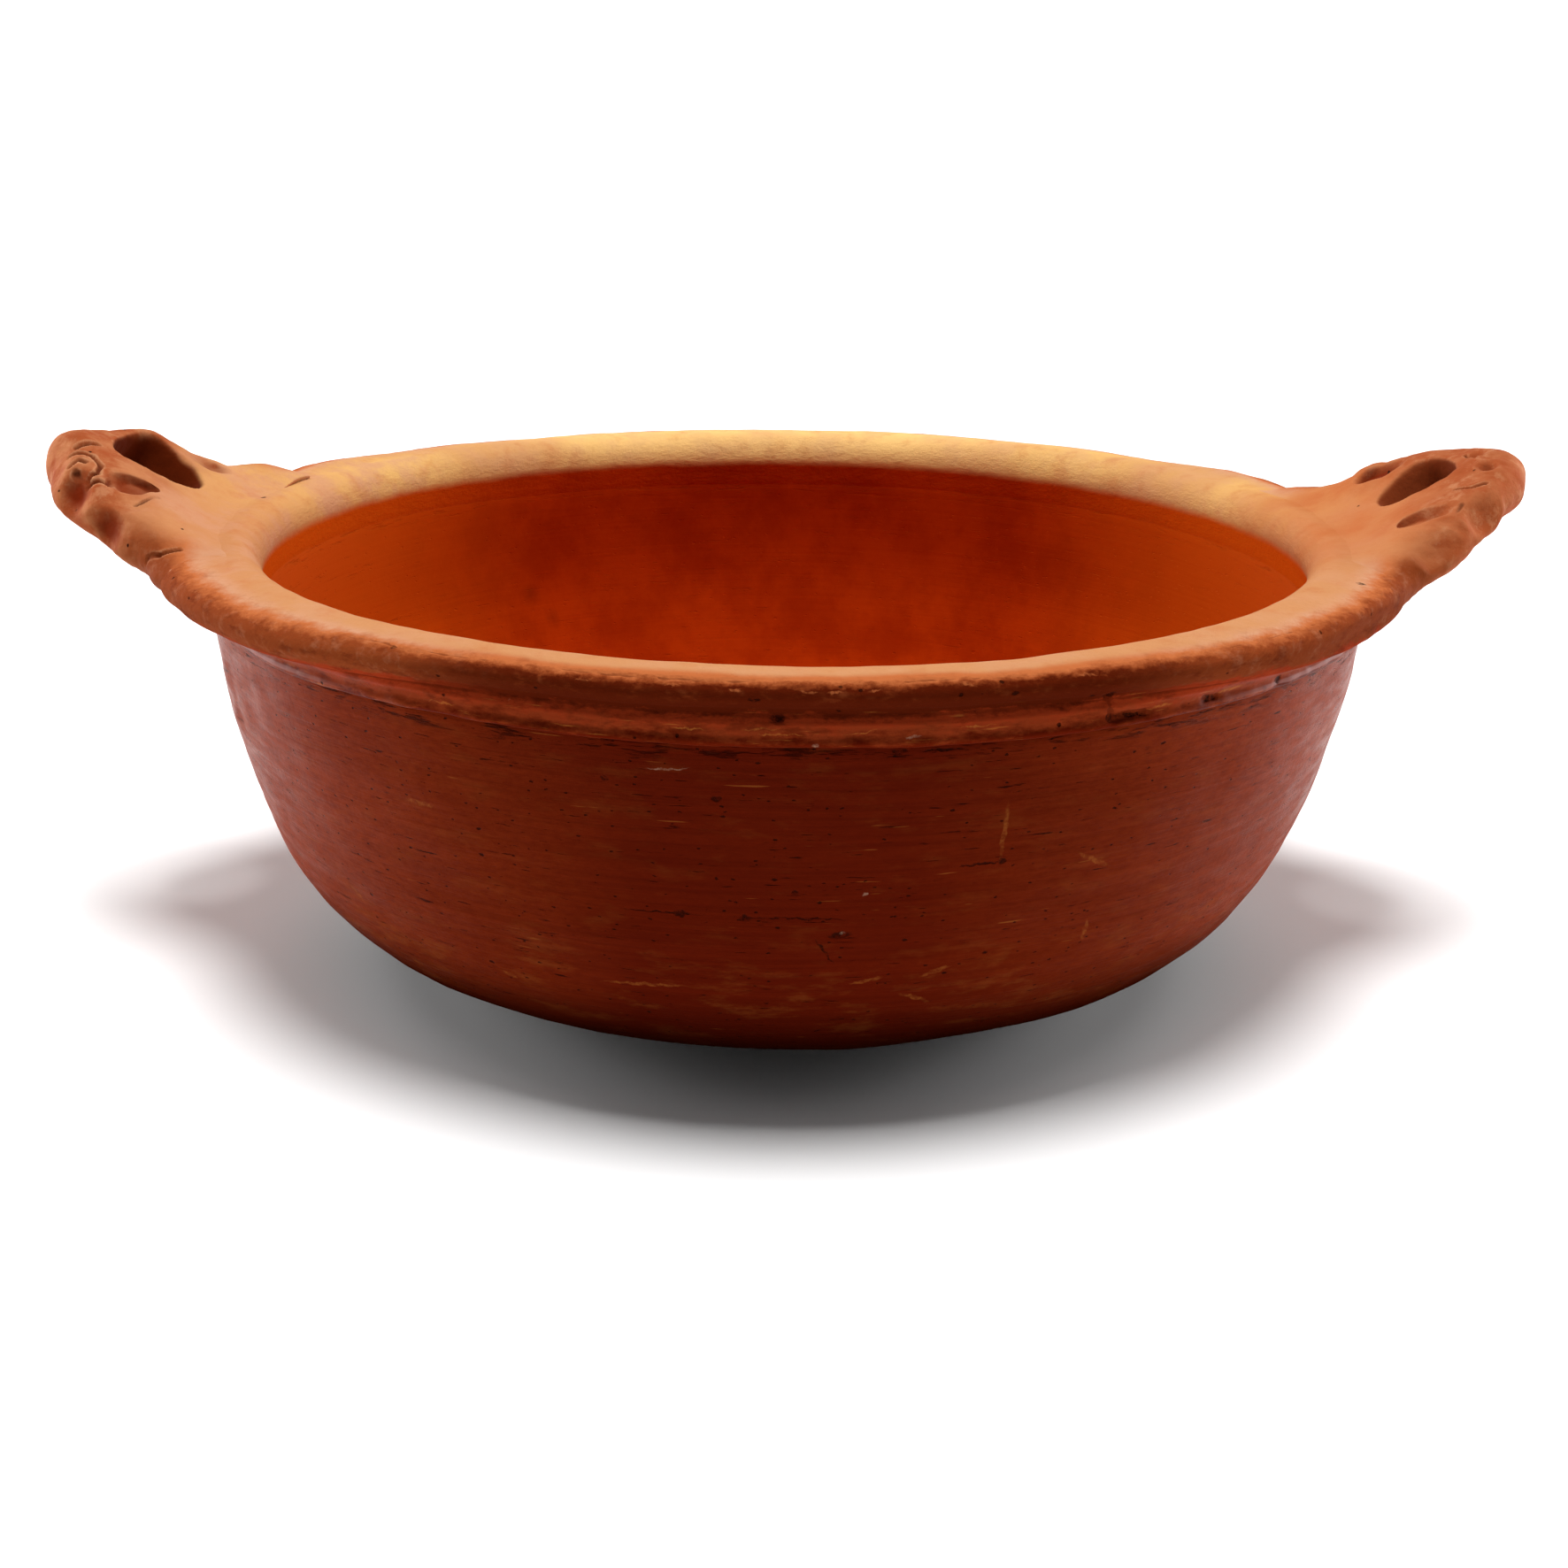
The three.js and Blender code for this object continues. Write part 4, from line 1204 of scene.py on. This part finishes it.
RIGHT_MARKS = {
    "pulls": [
        ((-10, 163, 103), 20, (-1.6, 0.5, 2.3)),
        ((-9, 157, 104), 8, (0.5, -0.9, -1.0)),
        ((9, 151, 111), 17, (0.0, 0.0, 1.8)),
        ((20, 137, 99), 14, (0.2, 0.5, 2.0)),
        ((12, 144.5, 108.5), 5.5, (0.0, 0.3, 2.2)),
        ((13.8, 142.6, 107.5), 5.5, (-0.6, 0.0, 1.8)),
        ((-1.5, 156.0, 115.0), 4, (0.3, 0.0, 0.9)),
        ((-2.5, 152.0, 114.0), 3.5, (0.0, 0.0, 0.8)),
        ((-12, 152, 101), 9, (0.4, -1.0, -0.8)),
    ],
    "presses": [
        ((-8.9, 142.0, 106.0), (4.4, 4.2), 3.0, (-0.25, 0.4, -1.0), 0.5, 0.2),
        ((8.9, 143.4, 108.2), (5.4, 4.6), 3.0, (-0.1, 0.35, -1.0), 0.4, 1.0),
        ((-9.9, 154.5, 107.4), (7, 5.0), 1.3, (-0.4, 0.8, -0.4), 0.8, 0.1),
        ((-14.2, 143.4, 101.8), (6.5, 5.0), 1.4, (-0.4, 0.75, -0.5), 0.7, 0.15),
        ((-3.7, 157.5, 115.9), (3.0, 2.4), 1.6, (0.1, 0.2, -1.0), 0.6, 0.5),
        ((0.5, 158.0, 116.0), (3.5, 2.6), 1.2, (0.0, 0.0, -1.0), 0.3, 0.3),
    ],
    "lines": [
        (((-6.2, 149.6, 111.9), (-6.9, 152.5, 112.9), (-6.8, 155.6, 113.6)), 1.5, 0.9),
        (((-11.6, 146.0, 104.0), (-10.6, 148.5, 106.5), (-9.4, 150.0, 109.5)), 1.6, 0.4),
        (((1.5, 156.4, 115.8), (-1.0, 156.8, 115.9)), 1.3, 0.6),
        (((-21.3, 137.6, 97.3), (-20.6, 138.6, 97.2)), 1.4, 0.6),
        (((-18.8, 140.3, 97.2), (-18.2, 141.2, 97.0)), 1.4, 0.6),
    ],
}

LEFT_MARKS = {
    "pulls": [
        ((172, 153, 113), 12, (0.0, 0.3, 2.8)),
        ((-178, 160, 118), 9, (0.0, 0.0, 0.8)),
        ((-175, 166, 114), 12, (1.8, 0.3, -0.8)),
        ((162, 136, 100), 16, (-0.3, 0.5, 4.4)),
        ((-171, 162, 104), 10, (-1.1, -0.6, -0.9)),
        ((-164, 143, 97), 8, (0.2, 0.3, 0.6)),
        ((-170.0, 147.0, 106.0), 8, (0.0, -0.4, -1.8)),
        ((-160.5, 141.0, 94.5), 8, (-1.2, -0.9, -0.4)),
        ((-174, 166, 107.5), 9, (-0.7, 0.0, -0.5)),
    ],
    "presses": [
        ((-173.4, 145.6, 107.2), (4.4, 4.8), 3.6, (0.15, 0.7, -0.7), 0.5, 0.75),
        ((171.0, 139.8, 106.8), (5.5, 4.0), 2.4, (0.1, 0.45, -1.0), 0.4, 0.6),
        ((-171.9, 157.4, 107.0), (5.4, 5.4), 2.8, (0.1, 0.95, -0.3), 0.8, 1.0),
        ((-167.9, 150.2, 101.5), (8.4, 5.0), 2.2, (0.1, 0.93, -0.25), 0.4, 0.95),
    ],
    "lines": [
        (((-176.0, 159.3, 116.1), (-177.0, 157.3, 116), (-177.6, 155.4, 115.5)), 1.9, 1.1),
        (((-175.0, 160.4, 115.1), (-175.2, 157.5, 115.2), (-174.8, 155.1, 114.6)), 1.9, 1.1),
        (((-174.8, 155.1, 114.6), (-173.6, 152.6, 113.1), (-172.0, 152.8, 111.8)), 1.6, 1.0),
        (((-172.0, 152.8, 111.8), (-171.7, 155.6, 111.2), (-172.6, 158.0, 111.8)), 1.9, 1.1),
        (
            ((-171.9, 157.6, 110.3), (-171.0, 153.7, 110.2), (-170.9, 150.1, 110.3), (-172.2, 149.6, 111.3)),
            1.9, 1.1,
        ),
        (((-173.4, 159.3, 113.1), (-174.0, 157.6, 113.7), (-173.6, 156.0, 113.6)), 1.9, 1.1),
        (((-168.9, 144.4, 106.8), (-170.5, 142.0, 106.3), (-172.0, 139.9, 105.2)), 1.2, 0.5),
        (((-163.0, 142.0, 96.6), (-162.0, 139.4, 98.4), (-162.3, 135.3, 99.5)), 1.8, 0.9),
    ],
}


# Where each lug's sizes, in millimetres, and angles differ from those that the two share
RIGHT_SIZES = {"tip_radius": 5.6, "hole_width": 17.5, "hole_shift": 3.8, "hole_offset": 5.9}
LEFT_SIZES = {"hole_length": 21, "hole_width": 20.5, "hole_shift": 7, "hole_offset": 5.9}
RIGHT_NEAR_ANGLE = math.radians(20.5)
LEFT_FAR_ANGLE = math.radians(20)


def tell_lugs_apart(parts):
    """Gives each lug its own sizes."""
    for lug, own in ((parts.right_lug, RIGHT_SIZES), (parts.left_lug, LEFT_SIZES)):
        for name, size in own.items():
            setattr(lug, name, size * MM)
    parts.right_lug.near_angle = RIGHT_NEAR_ANGLE
    parts.left_lug.far_angle = LEFT_FAR_ANGLE


def dress(made, material, node):
    """Gives a finished piece its material, hides the imported part that it stands for, and hangs it on the
    root body.
    """
    made.data.materials.clear()
    made.data.materials.append(material)
    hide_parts(node)
    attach(made, "root")


# The stage

# Suns by their name, their settings, their turn about +Z in radians and their width in degrees
SUNS = [
    ("key_light", "key", 0, 19),
    ("left_wing", "wing", -1.95, 30),
    ("right_wing", "wing", 1.95, 30),
    ("front_light", "fill", 0, 20),
]
SKY_COLOUR = (0.97, 0.98, 1.0, 1.0)
SEEN_SKY_COLOUR = (0.96, 0.96, 0.96, 1.0)
WHITE = (1.0, 1.0, 1.0, 1.0)


def sheet(name, half_sizes, lean, place, grey, glow):
    """A sheet of paper to stand the bowl on or behind it."""
    bm = bmesh.new()
    bmesh.ops.create_grid(bm, x_segments=1, y_segments=1, size=1.0)
    bmesh.ops.scale(bm, vec=(*half_sizes, 1), verts=bm.verts)
    bmesh.ops.rotate(bm, cent=(0, 0, 0), matrix=Matrix.Rotation(lean, 3, "X"), verts=bm.verts)
    bmesh.ops.translate(bm, vec=place, verts=bm.verts)
    made = piece(name, bm)
    skin = Skin(name + "_paper")
    made.data.materials.append(skin.finish((grey, grey, grey), 0.9, skin.cloud(3, 2), 0.02, 0.0))
    skin.surface.inputs["Emission Color"].default_value = WHITE
    skin.surface.inputs["Emission Strength"].default_value = glow
    return made


def light_sky(settings):
    """A faint light from all round, and a pale background where the camera sees past the paper."""
    world = bpy.data.worlds.new("studio")
    world.use_nodes = True
    nodes, links = world.node_tree.nodes, world.node_tree.links
    sky = nodes["Background"]
    sky.inputs["Color"].default_value = SKY_COLOUR
    sky.inputs["Strength"].default_value = settings.sky
    pale = nodes.new("ShaderNodeBackground")
    pale.inputs["Color"].default_value = SEEN_SKY_COLOUR
    either = nodes.new("ShaderNodeMixShader")
    links.new(nodes.new("ShaderNodeLightPath").outputs["Is Camera Ray"], either.inputs["Fac"])
    links.new(sky.outputs[0], either.inputs[1])
    links.new(pale.outputs[0], either.inputs[2])
    links.new(either.outputs[0], nodes["World Output"].inputs["Surface"])
    bpy.context.scene.world = world


def lamp(name, kind, energy, **settings):
    """Hangs a light of a kind, and gives its object."""
    light = bpy.data.lights.new(name, kind)
    light.energy = energy
    for setting, value in settings.items():
        setattr(light, setting, value)
    made = bpy.data.objects.new(name, light)
    bpy.context.scene.collection.objects.link(made)
    return made


def hang_lights(settings):
    """Four soft suns from above and in front, and a low soft light on each side."""
    for name, kind, turn, wide in SUNS:
        sun = lamp(name, "SUN", getattr(settings, kind), angle=math.radians(wide))
        lean = Matrix.Rotation(getattr(settings, kind + "_lean"), 4, "X")
        sun.matrix_world = Matrix.Rotation(turn, 4, "Z") @ lean
    for name, x in (("left_light", -1.05), ("right_light", 1.05)):
        low = lamp(name, "AREA", settings.side, shape="RECTANGLE", size=0.8, size_y=0.4)
        low.location = (x, 0.42, 0.24)
        low.rotation_euler = (Vector((0, 0, 0.05)) - low.location).to_track_quat("-Z", "Y").to_euler()
        low.visible_camera = False


def aim_camera(settings):
    """The camera, fitted to the photograph."""
    lens = bpy.data.cameras.new("camera")
    lens.lens = settings.lens
    lens.sensor_width = 36.0
    lens.clip_start = 0.01
    camera = bpy.data.objects.new("camera", lens)
    tilt = Matrix.Rotation(math.pi / 2 - settings.camera_pitch, 4, "X")
    roll = Matrix.Rotation(settings.camera_roll, 4, "Z")
    place = Matrix.Translation((settings.camera_side, -settings.camera_back, settings.camera_height))
    camera.matrix_world = place @ tilt @ roll
    scene = bpy.context.scene
    scene.collection.objects.link(camera)
    scene.camera = camera
    scene.view_settings.view_transform = "Standard"
    scene.view_settings.exposure = settings.exposure


# Operators

class CLAY_OT_bowl(bpy.types.Operator):
    """Model the burnished bowl"""

    bl_idname = "clay_bowl.bowl"
    bl_label = "Bowl"

    def execute(self, context):
        parts = context.scene.clay_bowl
        made = piece("burnished_bowl", spun(bowl_profile(parts.bowl, parts.rim), parts.bowl.turns))
        sculpt_bowl(made, parts.bowl)
        dress(made, burnished_material(parts.colours), "bowl_body")
        return {"FINISHED"}


class CLAY_OT_rim(bpy.types.Operator):
    """Model the rim coil"""

    bl_idname = "clay_bowl.rim"
    bl_label = "Rim"

    def execute(self, context):
        parts = context.scene.clay_bowl
        profile, zero, marks = rim_profile(parts.rim, parts.bowl)
        made = piece("rolled_rim", spun(profile, parts.rim.turns, closed=True, zero=zero))
        sculpt_rim(made, parts.rim, parts.bowl, marks)
        dress(made, rim_material(parts.colours, marks), "rim_coil")
        return {"FINISHED"}


class CLAY_OT_lugs(bpy.types.Operator):
    """Model the two lug handles"""

    bl_idname = "clay_bowl.lugs"
    bl_label = "Lug handles"

    def execute(self, context):
        parts = context.scene.clay_bowl
        clay = lug_material(parts.colours, parts.rim)
        for name, node, sizes, side, marks in (
            ("right_lug", "handle_right", parts.right_lug, 1, RIGHT_MARKS),
            ("left_lug", "handle_left", parts.left_lug, -1, LEFT_MARKS),
        ):
            made = pierced_lug(name, sizes, parts.rim, side)
            sculpt_lug(made, sizes, parts.rim, side, marks)
            dress(made, clay, node)
        return {"FINISHED"}


class CLAY_OT_stage(bpy.types.Operator):
    """Set the floor, the lights and the camera"""

    bl_idname = "clay_bowl.stage"
    bl_label = "Stage"

    def execute(self, context):
        settings = context.scene.clay_bowl.stage
        floor = sheet("floor", (12, 12), 0, (0, 0, 0), 0.88, 0.0)
        paper = sheet("backdrop", (10, 0.5), math.pi / 2, (0, 9, 0.4), 0.9, 1.0)
        light_sky(settings)
        hang_lights(settings)
        aim_camera(settings)
        return {"FINISHED"}


OPERATORS = (CLAY_OT_bowl, CLAY_OT_rim, CLAY_OT_lugs, CLAY_OT_stage)
GROUPS = (BowlSizes, RimSizes, LugSizes, ClayColours, StageSettings, ClayBowl)


class CLAY_PT_bowl(bpy.types.Panel):
    """The bowl's pieces, in the 3D view's sidebar"""

    bl_label = "Clay Bowl"
    bl_idname = "CLAY_PT_bowl"
    bl_space_type = "VIEW_3D"
    bl_region_type = "UI"
    bl_category = "Clay Bowl"

    def draw(self, context):
        for operator in OPERATORS:
            self.layout.operator(operator.bl_idname)


CLASSES = GROUPS + OPERATORS + (CLAY_PT_bowl,)


def register():
    for group in CLASSES:
        bpy.utils.register_class(group)
    bpy.types.Scene.clay_bowl = PointerProperty(type=ClayBowl)


def unregister():
    del bpy.types.Scene.clay_bowl
    for group in reversed(CLASSES):
        bpy.utils.unregister_class(group)


def main():
    register()
    tell_lugs_apart(bpy.context.scene.clay_bowl)
    bpy.ops.clay_bowl.stage()
    bpy.ops.clay_bowl.bowl()
    bpy.ops.clay_bowl.rim()
    bpy.ops.clay_bowl.lugs()


if __name__ == "__main__":
    main()
